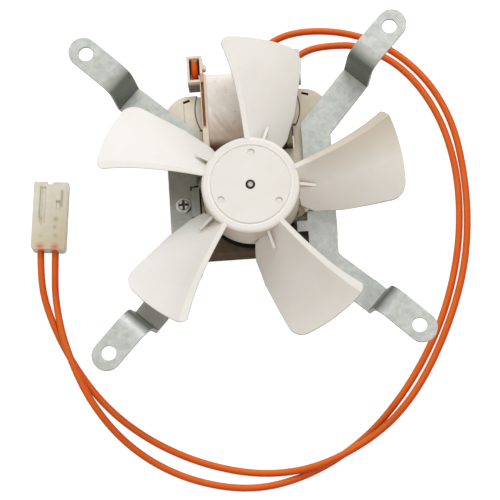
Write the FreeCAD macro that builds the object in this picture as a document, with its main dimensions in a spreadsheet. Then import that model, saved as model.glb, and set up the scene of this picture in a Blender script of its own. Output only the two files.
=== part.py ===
"""Pellet grill induction fan: a shaded-pole motor with a five-blade impeller and two stepped brackets.

Millimetres. +Z is the shaft axis, pointing out of the front of the impeller. The origin lies on the
shaft axis, level with the back of the motor, which is the face that the fan lies on.
"""
import FreeCAD
import Part

import math
import os

import Sketcher

Vector = FreeCAD.Vector

# Driving dimensions: name, value, meaning
SIZES = [
    ("coil_rear_overhang", 7.0, "coil flange behind the lamination stack"),
    ("stack_depth", 12.7, "lamination stack along the shaft"),
    ("coil_front_overhang", 5.8, "coil flange in front of the stack"),
    ("hub_front_gap", 23.0, "stack front to the face of the hub"),
    ("shaft_radius", 1.5875, "motor shaft"),
    ("bearing_clearance", 0.02, "radial running clearance of the shaft"),
    ("motor_turn", 1.3, "motor and bracket plates beside the hole square, clockwise, degrees"),
    ("stack_half_width", 27.75, "half the width of the stack"),
    ("stack_bottom", 17.3, "shaft axis to the bottom edge of the stack"),
    ("stack_top", 37.6, "shaft axis to the top of the stack lobes"),
    ("leg_inner", 15.3, "shaft plane to the inner face of each stack leg"),
    ("window_bottom", 17.0, "shaft axis to the bottom of the coil window"),
    ("lobe_radius", 8.5, "outer corner of each stack lobe"),
    ("foot_radius", 4.0, "lower corner of the stack"),
    ("bar_bottom", 24.7, "shaft axis to the lower edge of the coil core bar"),
    ("bar_top", 37.1, "shaft axis to the upper edge of the coil core bar"),
    ("bar_half_length", 16.3, "half length of the bar at its corners"),
    ("bar_end_radius", 14.5, "rounded end of the bar"),
    ("lamination_slot_length", 2.4, "interlock slot in each lobe"),
    ("lamination_slot_width", 0.8, "interlock slot in each lobe"),
    ("lamination_slot_depth", 1.2, "interlock slot in each lobe"),
    ("lamination_slot_tilt", 18.0, "interlock slot in each lobe, degrees"),
    ("lamination_slot_x", 20.1, "interlock slot centre"),
    ("lamination_slot_y", 35.8, "interlock slot centre"),
    ("rotor_radius", 12.7, "rotor core"),
    ("air_gap", 0.35, "rotor to stator bore"),
    ("rotor_bar_count", 12, "cage bars"),
    ("rotor_bar_radius", 1.0, "cage bars"),
    ("rotor_bar_inset", 1.6, "cage bar centre below the rotor surface"),
    ("end_ring_height", 1.3, "cage end ring"),
    ("end_ring_width", 4.0, "cage end ring"),
    ("shading_wire", 1.6, "side of the square copper of a shading coil"),
    ("shading_x", 13.6, "shading coil plane"),
    ("shading_low", 3.9, "inner edge of the shading coil"),
    ("shading_high", 13.1, "outer edge of the shading coil"),
    ("slot_clearance", 0.1, "shading coil in its slot"),
    ("bridge_sheet", 1.5, "bearing bridge sheet"),
    ("bridge_ear_half", 5.1, "half width of a bridge ear"),
    ("bridge_ear_end", 27.0, "shaft plane to the end of a bridge ear"),
    ("bridge_rise", 2.2, "step of the front bridge at each ear"),
    ("bridge_drop", 1.9, "step of the rear bridge at each ear"),
    ("bridge_step_start", 20.2, "outer foot of the bridge step"),
    ("bridge_step_end", 19.2, "inner head of the bridge step"),
    ("bridge_dish_radius", 15.5, "round middle of the bridge"),
    ("bridge_taper", 38.7, "where the round middle turns to the ears, degrees"),
    ("bridge_groove_x", 17.5, "outer side of the groove across the front bridge"),
    ("bridge_groove_width", 0.5, "groove across the front bridge"),
    ("bridge_groove_half", 4.6, "half length of the groove across the front bridge"),
    ("bridge_groove_depth", 0.9, "groove across the front bridge"),
    ("housing_radius", 8.5, "bearing housing"),
    ("front_housing_top", 31.5, "end of the front bearing housing"),
    ("housing_hole", 3.0, "hole for the shaft in the front housing"),
    ("bearing_radius", 4.6, "bulge of the bearing barrel"),
    ("bearing_end_radius", 3.6, "flat end of the bearing barrel"),
    ("front_bearing_length", 5.4, "front bearing barrel"),
    ("rear_bearing_length", 3.8, "rear bearing barrel"),
    ("rear_wall", 1.2, "closed end of the rear housing"),
    ("clip_thickness", 0.4, "spring clip that holds a bearing"),
    ("clip_inner", 3.4, "hole of the spring clip"),
    ("felt_clearance", 0.15, "felt ring to the bearing and the housing"),
    ("washer_radius", 3.2, "thrust washer"),
    ("washer_thickness", 0.6, "thrust washer"),
    ("washer_gap", 0.3, "end float beside the thrust washer"),
    ("plate_inner", 18.0, "shaft plane to the inner edge of a bracket plate"),
    ("plate_outer", 27.6, "shaft plane to the outer edge of a bracket plate"),
    ("bracket_sheet", 1.2, "bracket sheet"),
    ("arm_half_width", 4.95, "half width of a bracket arm"),
    ("fold_radius", 54.2, "shaft axis to the fold of an arm, along the diagonal"),
    ("wall_lean", 9.0, "outward lean of the arm's wall, degrees"),
    ("upper_bend", 6.3, "bend between the wall and the tab"),
    ("tab_top", 38.1, "front face of the tabs"),
    ("hole_spacing", 101.6, "side of the square of mounting holes"),
    ("hole_radius", 2.45, "mounting hole"),
    ("tab_end_margin", 6.1, "mounting hole centre to the end of the tab"),
    ("notch_half", 5.5, "half width of the notch round a bridge ear"),
    ("notch_depth", 2.3, "depth of the notch round a bridge ear"),
    ("lug_near", 8.8, "near side of the bracket's small inner lug"),
    ("lug_far", 12.4, "far side of the bracket's small inner lug"),
    ("lug_reach", 3.6, "length of the bracket's small inner lug"),
    ("crook_radius", 2.0, "rounded corner of the sheet between a plate and its arms"),
    ("screw_x", 23.0, "shaft plane to each motor screw"),
    ("screw_y", -0.9, "motor screws beside the shaft"),
    ("screw_radius", 1.5, "motor screw"),
    ("screw_clearance", 0.15, "hole round a motor screw"),
    ("screw_head_radius", 2.85, "pan head"),
    ("screw_head_height", 2.0, "pan head"),
    ("screw_end", 2.4, "height of the screw's tip over the resting face"),
    ("recess_length", 3.3, "cross recess"),
    ("recess_width", 0.85, "cross recess"),
    ("recess_depth", 1.2, "cross recess"),
    ("nut_height", 2.4, "nut"),
    ("nut_across_corners", 6.35, "nut"),
    ("flange_outer", 15.0, "shaft plane to the outer face of a bobbin flange"),
    ("flange_thickness", 2.0, "bobbin flange"),
    ("flange_bottom", 17.3, "lower edge of a bobbin flange"),
    ("flange_top", 43.6, "upper edge of a bobbin flange"),
    ("bobbin_wall", 1.0, "bobbin tube"),
    ("bobbin_clearance", 0.1, "bobbin tube to the core bar"),
    ("wire_channel_width", 0.8, "channel for the coil wire in each flange"),
    ("wire_channel_depth", 1.8, "channel for the coil wire in each flange"),
    ("wire_channel_start", 25.4, "lower end of the wire channel"),
    ("coil_wire_radius", 0.35, "coil wire in the channel"),
    ("box_left", 13.9, "inner side of a terminal box"),
    ("box_right", 19.1, "outer side of a terminal box"),
    ("box_drop", 2.8, "upper edge of the flange to the lower side of a terminal box"),
    ("box_length", 9.2, "terminal box beside the flange"),
    ("box_wall", 0.85, "wall of a terminal box"),
    ("box_depth", 12.7, "terminal box along the shaft"),
    ("box_proud", 0.2, "terminal box in front of its flange"),
    ("post_radius", 0.8, "wire post on each flange"),
    ("post_x", 13.4, "wire post"),
    ("post_rise", 2.4, "upper edge of the flange to the middle of the wire post"),
    ("post_height", 4.0, "wire post"),
    ("tape_margin", 0.6, "tape inside the edge of the flange"),
    ("tape_radius", 4.0, "rounded corner of the taped coil"),
    ("tape_thickness", 0.4, "coil tape"),
    ("terminal_size", 1.9, "solder terminal"),
    ("coil_slack", 0.3, "coil below the upper edge of the flange, besides the tape's margin"),
    ("channel_shift", 0.2, "wire channel beside the middle of the flange"),
    ("head_trim", 0.12, "cylinder of the pan head inside its dome"),
    ("hub_radius", 16.2, "impeller hub"),
    ("hub_depth", 17.0, "impeller hub"),
    ("hub_wall", 1.7, "side wall of the hub"),
    ("hub_face", 2.2, "front wall of the hub"),
    ("hub_rim_radius", 1.2, "rounded front rim of the hub"),
    ("groove_radius", 13.5, "groove circle on the hub face"),
    ("groove_width", 0.45, "groove circle on the hub face"),
    ("groove_depth", 0.3, "groove circle on the hub face"),
    ("dimple_circle", 10.9, "gate marks on the hub face"),
    ("dimple_radius", 1.1, "gate marks on the hub face"),
    ("dimple_depth", 0.4, "gate marks on the hub face"),
    ("boss_radius", 4.3, "boss of the impeller round the shaft"),
    ("boss_length", 9.0, "boss of the impeller behind the face"),
    ("rib_thickness", 1.2, "ribs in the hub"),
    ("rib_height", 5.0, "ribs in the hub"),
    ("blade_count", 5, "blades"),
    ("first_blade", 81.0, "direction of the first blade, degrees"),
    ("tip_radius", 51.3, "impeller tip circle"),
    ("blade_thickness", 1.4, "blades"),
    ("root_pitch", 55.0, "blade angle at the hub, degrees"),
    ("tip_pitch", 23.0, "blade angle at the tip, degrees"),
    ("blade_depth", 6.4, "hub face to the middle of the blade"),
    ("blade_back", 1.1, "open back of the hub to the lowest edge of a blade"),
    ("root_offset", -2.3, "middle of the blade root beside its radius"),
    ("tip_offset", -0.1, "middle of the blade tip beside its radius"),
    ("lead_edge_root", 3.0, "leading edge beside the blade's radius, at the hub"),
    ("lead_edge_tip", 14.4, "leading edge beside the blade's radius, at the tip"),
    ("trail_edge_root", -7.4, "trailing edge beside the blade's radius, at the hub"),
    ("trail_edge_shoulder", -12.2, "trailing edge where it turns straight"),
    ("trail_edge_tip", -13.9, "trailing edge beside the blade's radius, at the tip"),
    ("shoulder_radius", 26.0, "distance out to where the trailing edge turns straight"),
    ("bow_out", 0.9, "bow of the trailing edge, outwards"),
    ("bow_side", 1.3, "bow of the trailing edge, sideways"),
    ("lead_corner", 3.5, "rounded leading corner of the tip"),
    ("trail_corner", 5.5, "rounded trailing corner of the tip"),
    ("gusset_reach", 5.6, "gusset at each blade root, out from the hub"),
    ("gusset_thickness", 1.0, "gusset at each blade root"),
    ("gusset_turn", -11.0, "gusset beside the blade's radius, degrees"),
    ("gusset_top", 2.6, "hub face to the top of the gusset"),
    ("shaft_proud", 0.2, "shaft in front of the hub face"),
    ("shaft_end_gap", 0.3, "shaft to the closed rear housing"),
    ("shaft_chamfer", 0.55, "ends of the shaft"),
    ("lead_radius", 1.2, "insulated lead"),
    ("connector_width", 11.7, "connector housing"),
    ("connector_length", 23.6, "connector housing"),
    ("connector_thickness", 6.4, "connector housing"),
    ("connector_corner", 1.2, "corners of the connector housing beside the leads"),
    ("connector_turn", 7.15, "lean of the connector, clockwise from the front, degrees"),
    ("connector_x", -69.5, "middle of the connector"),
    ("connector_y", 4.4, "middle of the connector"),
    ("cavity_width", 3.9, "contact cavity"),
    ("cavity_depth", 16.0, "contact cavity"),
    ("contact_pitch", 5.08, "contacts"),
    ("contact_shift", -0.35, "middle of the contacts beside the housing's middle"),
    ("contact_radius", 0.8, "contact tube"),
    ("contact_length", 12.0, "contact tube"),
    ("collar_radius", 1.9, "contact collar"),
    ("collar_length", 1.4, "contact collar"),
    ("lead_entry", 6.0, "lead inside the connector"),
    ("entry_clearance", 0.15, "lead in the connector"),
    ("key_notch_width", 1.7, "notch in the mating end"),
    ("key_notch_depth", 0.8, "notch in the mating end"),
    ("latch_window_width", 1.4, "latch window"),
    ("latch_window_length", 3.0, "latch window"),
    ("latch_window_depth", 0.8, "latch window"),
    ("side_groove_width", 1.8, "groove on the connector"),
    ("side_groove_length", 12.5, "groove on the connector"),
    ("side_groove_depth", 0.5, "groove on the connector"),
]


class Size:
    """A number together with the spreadsheet expression that gives it."""

    def __init__(self, value, text):
        self.value = value
        self.text = text

    def __add__(self, other):
        other = size(other)
        return Size(self.value + other.value, f"({self.text} + {other.text})")

    def __sub__(self, other):
        other = size(other)
        return Size(self.value - other.value, f"({self.text} - {other.text})")

    def __mul__(self, other):
        other = size(other)
        return Size(self.value * other.value, f"({self.text} * {other.text})")

    def __truediv__(self, other):
        other = size(other)
        return Size(self.value / other.value, f"({self.text} / {other.text})")

    def __radd__(self, other):
        return size(other) + self

    def __rsub__(self, other):
        return size(other) - self

    def __rmul__(self, other):
        return size(other) * self

    def __neg__(self):
        return Size(-self.value, f"(0 - {self.text})")


def size(number):
    """A plain number as a Size; a Size stays as it is."""
    if isinstance(number, Size):
        return number
    return Size(float(number), repr(float(number)))


def cosine(angle):
    return Size(math.cos(math.radians(angle.value)), f"cos({angle.text})")


def sine(angle):
    return Size(math.sin(math.radians(angle.value)), f"sin({angle.text})")


doc = FreeCAD.newDocument("induction_fan")
sheet = doc.addObject("Spreadsheet::Sheet", "Sizes")
dim = {}
for row, (alias, value, meaning) in enumerate(SIZES, start=1):
    sheet.set(f"A{row}", meaning)
    sheet.set(f"B{row}", str(value))
    sheet.setAlias(f"B{row}", alias)
    dim[alias] = Size(float(value), f"Sizes.{alias}")
doc.recompute()

# Levels along the shaft, measured from the face that the motor lies on
stack_back = dim["coil_rear_overhang"]
stack_front = stack_back + dim["stack_depth"]
coil_front = stack_front + dim["coil_front_overhang"]
bridge_top = stack_front + dim["bridge_sheet"]
plate_top = bridge_top + dim["bracket_sheet"]
hub_front = stack_front + dim["hub_front_gap"]
hub_back = hub_front - dim["hub_depth"]

# The terminal boxes and posts keep their place beside the upper edge of the flange
box_bottom = dim["flange_top"] - dim["box_drop"]
box_top = box_bottom + dim["box_length"]
box_middle = (dim["box_left"] + dim["box_right"]) / 2
channel_middle = dim["flange_outer"] - dim["flange_thickness"] / 2 + dim["channel_shift"]

# The end of each lead in its terminal box
lead_start_y = box_top - dim["box_wall"] * 2
lead_start_z = coil_front - 2

parts = []
ROOT_TWO = size(2).value ** 0.5

# Pieces that aren't round about the shaft and turn with the motor
TURNED_WITH_MOTOR = {
    "stator_core", "coil_core_bar", "shading_coil_left", "shading_coil_right",
    "front_bearing_bridge", "rear_bearing_bridge", "screw_left", "screw_right", "nut_left",
    "nut_right", "bobbin", "coil_winding", "coil_tape", "coil_end_wire_left",
    "coil_end_wire_right", "lead_terminal_left", "lead_terminal_right",
}


def piece(obj, name):
    """Give the finished sub-part its name and put it on the list of pieces."""
    obj.Label = name
    parts.append(obj)
    return obj


def bind(obj, **sizes):
    """Tie properties to the sheet; a double underscore stands for a dot."""
    for prop, value in sizes.items():
        obj.setExpression(prop.replace("__", "."), size(value).text)
    return obj


def place(obj, x=0, y=0, z=0):
    return bind(obj, Placement__Base__x=x, Placement__Base__y=y, Placement__Base__z=z)


def with_motor(x, y):
    """A point of the square motor, after the turn that the motor sits at."""
    turn = dim["motor_turn"]
    x, y = size(x), size(y)
    return x * cosine(turn) + y * sine(turn), y * cosine(turn) - x * sine(turn)


def turn_with_motor(obj):
    obj.Placement.Rotation = FreeCAD.Rotation(Vector(0, 0, -1), dim["motor_turn"].value)
    obj.setExpression("Placement.Rotation.Angle", dim["motor_turn"].text)


def cylinder(name, radius, height, x=0, y=0, z=0):
    obj = doc.addObject("Part::Cylinder", name)
    bind(obj, Radius=radius, Height=height)
    return place(obj, x, y, z)


def block(name, low, high):
    """Box between two opposite corners."""
    obj = doc.addObject("Part::Box", name)
    spans = [size(b) - size(a) for a, b in zip(low, high)]
    bind(obj, Length=spans[0], Width=spans[1], Height=spans[2])
    return place(obj, *low)


def fuse(name, *shapes):
    obj = doc.addObject("Part::MultiFuse", name)
    obj.Shapes = list(shapes)
    obj.Refine = True
    return obj


def cut(name, base, *tools):
    obj = doc.addObject("Part::Cut", name)
    obj.Base = base
    obj.Tool = tools[0] if len(tools) == 1 else fuse(name + "_tools", *tools)
    obj.Refine = True
    return obj


def arc_geometry(start, end, radius, turn):
    """Short arc between two points; a positive turn bends to the left."""
    chord = end - start
    half = chord.Length / 2
    height = math.sqrt(max(radius * radius - half * half, 0))
    side = Vector(-chord.y, chord.x, 0).normalize() * (height * turn)
    centre = (start + end) * 0.5 + side
    first, last = (start, end) if turn > 0 else (end, start)
    angles = [math.atan2(p.y - centre.y, p.x - centre.x) for p in (first, last)]
    if angles[1] < angles[0]:
        angles[1] += 2 * math.pi
    circle = Part.Circle(centre, Vector(0, 0, 1), radius)
    return Part.ArcOfCircle(circle, *angles)


def outline(sketch, corners, arcs=None):
    """Closed outline through the corners, each tied to the sheet.

    arcs maps the number of a run to its radius and its turn, 1 to the left or -1 to the right.
    """
    arcs = arcs or {}
    corners = [(size(x), size(y)) for x, y in corners]
    points = [Vector(x.value, y.value, 0) for x, y in corners]
    runs = []
    for number, start in enumerate(points):
        end = points[(number + 1) % len(points)]
        if number in arcs:
            radius, turn = arcs[number]
            run = sketch.addGeometry(arc_geometry(start, end, size(radius).value, turn), False)
            runs.append((run, 1, 2) if turn > 0 else (run, 2, 1))
        else:
            run = sketch.addGeometry(Part.LineSegment(start, end), False)
            runs.append((run, 1, 2))
    for number, (run, first, last) in enumerate(runs):
        following = runs[(number + 1) % len(runs)]
        joint = Sketcher.Constraint("Coincident", run, last, following[0], following[1])
        sketch.addConstraint(joint)
        tie(sketch, run, first, *corners[number])
        if number in arcs:
            radius = size(arcs[number][0])
            index = sketch.addConstraint(Sketcher.Constraint("Radius", run, radius.value))
            sketch.setExpression(f"Constraints[{index}]", radius.text)


def tie(sketch, run, end, x, y):
    """Hold one point of a sketch at sheet values."""
    for kind, value, axis in (("DistanceX", x, -2), ("DistanceY", y, -1)):
        if abs(value.value) < 1e-9:
            sketch.addConstraint(Sketcher.Constraint("PointOnObject", run, end, axis))
            continue
        index = sketch.addConstraint(Sketcher.Constraint(kind, -1, 1, run, end, value.value))
        sketch.setExpression(f"Constraints[{index}]", value.text)


def circle(sketch, radius, x=0, y=0):
    """Circle tied to the sheet."""
    radius, x, y = size(radius), size(x), size(y)
    run = sketch.addGeometry(
        Part.Circle(Vector(x.value, y.value, 0), Vector(0, 0, 1), radius.value), False)
    if abs(x.value) < 1e-9 and abs(y.value) < 1e-9:
        sketch.addConstraint(Sketcher.Constraint("Coincident", run, 3, -1, 1))
    else:
        tie(sketch, run, 3, x, y)
    index = sketch.addConstraint(Sketcher.Constraint("Radius", run, radius.value))
    sketch.setExpression(f"Constraints[{index}]", radius.text)


def body_sketch(body, name, role="XY_Plane", offset=0, turn=0):
    """Sketch on one of the body's own planes, raised by offset; turn swings an upright one round Z."""
    sketch = body.newObject("Sketcher::SketchObject", name)
    plane = [feature for feature in body.Origin.OriginFeatures if feature.Role == role][0]
    sketch.AttachmentSupport = (plane, "")
    sketch.MapMode = "FlatFace"
    sketch.AttachmentOffset = FreeCAD.Placement(
        Vector(0, 0, 0), FreeCAD.Rotation(Vector(0, 1, 0), turn))
    sketch.setExpression("AttachmentOffset.Base.z", size(offset).text)
    return sketch


def pad(body, sketch, length, side="One side"):
    feature = body.newObject("PartDesign::Pad", sketch.Name + "_pad")
    feature.Profile = sketch
    feature.SideType = side
    feature.setExpression("Length", size(length).text)
    doc.recompute()
    return feature


def pocket(body, sketch, depth=None):
    """Pocket downwards from the sketch, right through where no depth is given."""
    feature = body.newObject("PartDesign::Pocket", sketch.Name + "_pocket")
    feature.Profile = sketch
    if depth is None:
        feature.Type = "ThroughAll"
    else:
        feature.setExpression("Length", size(depth).text)
    doc.recompute()
    return feature


def revolved(body, sketch):
    feature = body.newObject("PartDesign::Revolution", sketch.Name + "_turned")
    feature.Profile = sketch
    feature.ReferenceAxis = (sketch, ["V_Axis"])
    feature.Angle = 360
    doc.recompute()
    return feature


def new_body(name):
    return doc.addObject("PartDesign::Body", name)


def turned_piece(name, corners, arcs=None):
    """Piece turned round the shaft axis from its half section of radius and height."""
    body = new_body(name)
    sketch = body_sketch(body, name + "_section", "XZ_Plane")
    outline(sketch, corners, arcs)
    revolved(body, sketch)
    return piece(body, name)


# Stator

def stator_core():
    """Lamination stack: a C with two lobes, the rotor bore and the slots of the shading coils."""
    body = new_body("stator_core")
    half = dim["stack_half_width"]
    top = dim["stack_top"]
    lobe = dim["lobe_radius"]
    foot = dim["foot_radius"]
    leg = dim["leg_inner"]
    seat = dim["bar_half_length"]
    low = dim["bar_bottom"]
    high = dim["bar_top"]
    plan = body_sketch(body, "core_plan", offset=stack_back)
    corners = [
        (-half + foot, -dim["stack_bottom"]), (half - foot, -dim["stack_bottom"]),
        (half, foot - dim["stack_bottom"]), (half, top - lobe), (half - lobe, top),
        (seat, top), (seat, high), (seat, low), (leg, low), (leg, dim["window_bottom"]),
        (-leg, dim["window_bottom"]), (-leg, low), (-seat, low), (-seat, high), (-seat, top),
        (-half + lobe, top), (-half, top - lobe), (-half, foot - dim["stack_bottom"]),
    ]
    arcs = {
        1: (foot, 1), 3: (lobe, 1), 6: (dim["bar_end_radius"], -1), 12: (dim["bar_end_radius"], -1),
        15: (lobe, 1), 17: (foot, 1),
    }
    outline(plan, corners, arcs)
    pad(body, plan, dim["stack_depth"])
    bore = body_sketch(body, "core_bore", offset=stack_front)
    circle(bore, dim["rotor_radius"] + dim["air_gap"])
    pocket(body, bore)
    play = dim["slot_clearance"]
    wire = dim["shading_wire"]
    near = dim["shading_low"]
    far = dim["shading_high"]
    left = dim["shading_x"] - wire / 2 - play
    right = dim["shading_x"] + wire / 2 + play
    for side, word in ((1, "right"), (-1, "left")):
        for low_edge, high_edge, order in ((near, near + wire, "near"), (far - wire, far, "far")):
            slot = body_sketch(body, f"slot_{word}_{order}", offset=stack_front)
            xs = (side * left, side * right)
            ys = (side * (low_edge - play), side * (high_edge + play))
            outline(slot, [(xs[0], ys[0]), (xs[1], ys[0]), (xs[1], ys[1]), (xs[0], ys[1])])
            pocket(body, slot)
    screws = body_sketch(body, "core_screw_holes", offset=stack_front)
    for side in (1, -1):
        circle(screws, dim["screw_radius"] + dim["screw_clearance"], side * dim["screw_x"],
               dim["screw_y"])
    pocket(body, screws)
    interlock = body_sketch(body, "core_interlocks", offset=stack_front)
    along = (dim["lamination_slot_length"] / 2 * cosine(dim["lamination_slot_tilt"]),
             dim["lamination_slot_length"] / 2 * sine(dim["lamination_slot_tilt"]))
    across = (dim["lamination_slot_width"] / 2 * sine(dim["lamination_slot_tilt"]),
              dim["lamination_slot_width"] / 2 * cosine(dim["lamination_slot_tilt"]))
    x = dim["lamination_slot_x"]
    y = dim["lamination_slot_y"]
    for side in (1, -1):
        outline(interlock, [
            (side * (x + along[0] - across[0]), y - along[1] - across[1]),
            (side * (x + along[0] + across[0]), y - along[1] + across[1]),
            (side * (x - along[0] + across[0]), y + along[1] + across[1]),
            (side * (x - along[0] - across[0]), y + along[1] - across[1]),
        ])
    pocket(body, interlock, dim["lamination_slot_depth"])
    return piece(body, "stator_core")


def coil_core_bar():
    """Straight bar through the coil, pressed between the lobes."""
    body = new_body("coil_core_bar")
    plan = body_sketch(body, "bar_plan", offset=stack_back)
    seat = dim["bar_half_length"]
    low = dim["bar_bottom"]
    high = dim["bar_top"]
    radius = dim["bar_end_radius"]
    corners = [(-seat, low), (seat, low), (seat, high), (-seat, high)]
    outline(plan, corners, {1: (radius, 1), 3: (radius, 1)})
    pad(body, plan, dim["stack_depth"])
    return piece(body, "coil_core_bar")


def shading_coil(name, side):
    """Closed copper loop round part of a pole face, through two slots of the stack."""
    wire = dim["shading_wire"]
    x = side * dim["shading_x"]
    middle = side * (dim["shading_low"] + dim["shading_high"]) / 2
    reach = (dim["shading_high"] - dim["shading_low"]) / 2
    outer = block(name + "_outer", (x - wire / 2, middle - reach, stack_back - wire),
                  (x + wire / 2, middle + reach, stack_front + wire))
    inner = block(name + "_inner", (x - wire, middle - reach + wire, stack_back),
                  (x + wire, middle + reach - wire, stack_front))
    return piece(cut(name, outer, inner), name)


# Bearing bridges

def bridge_plan(body, name, offset):
    """Outline of a bridge's middle: round, and tapering to the width of an ear on each side."""
    sketch = body_sketch(body, name, offset=offset)
    dish = dim["bridge_dish_radius"]
    ear = dim["bridge_ear_half"]
    neck = dim["bridge_step_end"]
    taper = dim["bridge_taper"]
    reach = dish * cosine(taper)
    rise = dish * sine(taper)
    outline(sketch, [
        (neck, ear), (reach, rise), (-reach, rise), (-neck, ear), (-neck, -ear), (-reach, -rise),
        (reach, -rise), (neck, -ear),
    ], {1: (dish, 1), 5: (dish, 1)})
    return sketch


def bearing_bridge(name, ear_level, step, closed):
    """Pressed sheet bridge; step is positive where the middle stands in front of the ears."""
    sheet_thickness = dim["bridge_sheet"]
    body = new_body(name)
    middle = ear_level + step
    pad(body, bridge_plan(body, name + "_plan", middle), sheet_thickness)
    for side, word in ((1, "right"), (-1, "left")):
        ear = body_sketch(body, f"{name}_{word}_ear", "XZ_Plane", -dim["bridge_ear_half"])
        start = dim["bridge_step_start"]
        end = dim["bridge_step_end"]
        inside = end - sheet_thickness
        outline(ear, [
            (side * inside, middle), (side * end, middle), (side * start, ear_level),
            (side * dim["bridge_ear_end"], ear_level),
            (side * dim["bridge_ear_end"], ear_level + sheet_thickness),
            (side * start, ear_level + sheet_thickness), (side * end, middle + sheet_thickness),
            (side * inside, middle + sheet_thickness),
        ])
        pad(body, ear, dim["bridge_ear_half"] * 2)
    housing = body_sketch(body, name + "_housing", "XZ_Plane")
    outer = dim["housing_radius"]
    if closed:
        outline(housing, [(0, 0), (outer, 0), (outer, middle + sheet_thickness),
                          (0, middle + sheet_thickness)])
    else:
        outline(housing, [(0, middle), (outer, middle), (outer, dim["front_housing_top"]),
                          (0, dim["front_housing_top"])])
    revolved(body, housing)
    cavity = body_sketch(body, name + "_cavity", "XZ_Plane")
    inner = outer - sheet_thickness
    hole = dim["housing_hole"]
    if closed:
        outline(cavity, [(0, dim["rear_wall"]), (inner, dim["rear_wall"]),
                         (inner, stack_front), (0, stack_front)])
    else:
        ceiling = dim["front_housing_top"] - sheet_thickness
        outline(cavity, [(0, stack_back), (inner, stack_back), (inner, ceiling), (hole, ceiling),
                         (hole, hub_front), (0, hub_front)])
    groove = body.newObject("PartDesign::Groove", name + "_hollow")
    groove.Profile = cavity
    groove.ReferenceAxis = (cavity, ["V_Axis"])
    groove.Angle = 360
    doc.recompute()
    screws = body_sketch(body, name + "_screw_holes", offset=hub_front)
    for side in (1, -1):
        circle(screws, dim["screw_radius"] + dim["screw_clearance"], side * dim["screw_x"],
               dim["screw_y"])
    pocket(body, screws)
    if not closed:
        grooves = body_sketch(body, name + "_grooves", offset=middle + sheet_thickness)
        far = dim["bridge_groove_x"]
        long = dim["bridge_groove_half"]
        for side in (1, -1):
            rectangle(grooves, side * (far - dim["bridge_groove_width"]), side * far, -long, long)
        pocket(body, grooves, dim["bridge_groove_depth"])
    return piece(body, name)


def bearing(name, bottom, length):
    """Sintered barrel with a rounded flank."""
    end = dim["bearing_end_radius"]
    bulge = dim["bearing_radius"] - end
    flank = (bulge * bulge + length * length / 4) / (2 * bulge)
    bore = dim["shaft_radius"] + dim["bearing_clearance"]
    corners = [(bore, bottom), (end, bottom), (end, bottom + length), (bore, bottom + length)]
    return turned_piece(name, corners, {1: (flank, 1)})


def bearing_clip(name, bottom):
    """Spring clip pressed into the housing against the bearing."""
    outer = dim["housing_radius"] - dim["bridge_sheet"]
    inner = dim["clip_inner"]
    top = bottom + dim["clip_thickness"]
    return turned_piece(name, [(inner, bottom), (outer, bottom), (outer, top), (inner, top)])


def oil_felt(name, bottom, top):
    """Felt ring that feeds oil to the bearing."""
    inner = dim["bearing_radius"] + dim["felt_clearance"]
    outer = dim["housing_radius"] - dim["bridge_sheet"] - dim["felt_clearance"]
    return turned_piece(name, [(inner, bottom), (outer, bottom), (outer, top), (inner, top)])


# Brackets

def bracket(name, side):
    """Sheet bracket: a flat plate over one side of the motor and two arms stepped up to the tabs."""
    body = new_body(name)
    sheet_thickness = dim["bracket_sheet"]
    inner = dim["plate_inner"]
    outer = dim["plate_outer"]
    half = dim["arm_half_width"]
    fold = dim["fold_radius"]
    slant = half * ROOT_TWO
    near = (fold - half) / ROOT_TWO
    far = (fold + half) / ROOT_TWO
    notch = dim["notch_half"]
    lug_x = inner - dim["lug_reach"]
    ys = [-dim["lug_far"], -dim["lug_near"]]
    blank = body_sketch(body, name + "_blank", offset=bridge_top)
    run = dim["crook_radius"] * math.tan(math.radians(22.5))
    step = run / ROOT_TWO
    crook = inner + slant
    elbow = outer - slant
    right = [
        (outer, run - elbow), (outer, elbow - run), (outer + step, elbow + step), (far, near),
        (near, far), (inner + step, crook + step), (inner, crook - run), (inner, notch),
        (inner + dim["notch_depth"], notch), (inner + dim["notch_depth"], -notch),
        (inner, -notch), (inner, ys[1]), (lug_x, ys[1]), (lug_x, ys[0]), (inner, ys[0]),
        (inner, run - crook), (inner + step, -crook - step), (near, -far), (far, -near),
        (outer + step, -elbow - step),
    ]
    bend = dim["crook_radius"]
    at_fold = (3, 4, 17, 18)
    turned = [point if number in at_fold else with_motor(*point)
              for number, point in enumerate(right)]
    outline(blank, [(side * x, side * y) for x, y in turned],
            {1: (bend, -1), 5: (bend, 1), 15: (bend, 1), 19: (bend, -1)})
    pad(body, blank, sheet_thickness)
    for turn, word in ((45, "upper"), (-45, "lower")):
        arm = body_sketch(body, f"{name}_{word}_arm", "XZ_Plane", 0, turn if side > 0 else turn + 180)
        arm_section(arm)
        pad(body, arm, half * 2, "Symmetric")
    tabs = body_sketch(body, name + "_tab_ends", offset=dim["tab_top"] - sheet_thickness)
    tab_centre = tab_round_centre() / ROOT_TWO
    for y_side in (1, -1):
        circle(tabs, half, side * tab_centre, y_side * tab_centre)
    pad(body, tabs, sheet_thickness)
    place_value = dim["hole_spacing"] / 2
    holes = body_sketch(body, name + "_holes", offset=hub_front)
    for y_side in (1, -1):
        circle(holes, dim["hole_radius"], side * place_value, y_side * place_value)
    screw_at = with_motor(side * dim["screw_x"], dim["screw_y"])
    circle(holes, dim["screw_radius"] + dim["screw_clearance"], *screw_at)
    pocket(body, holes)
    return piece(body, name)


def tab_round_centre():
    """Centre of a tab's round end, measured out along the diagonal."""
    return dim["hole_spacing"] / 2 * ROOT_TWO + dim["tab_end_margin"] - dim["arm_half_width"]


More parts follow.
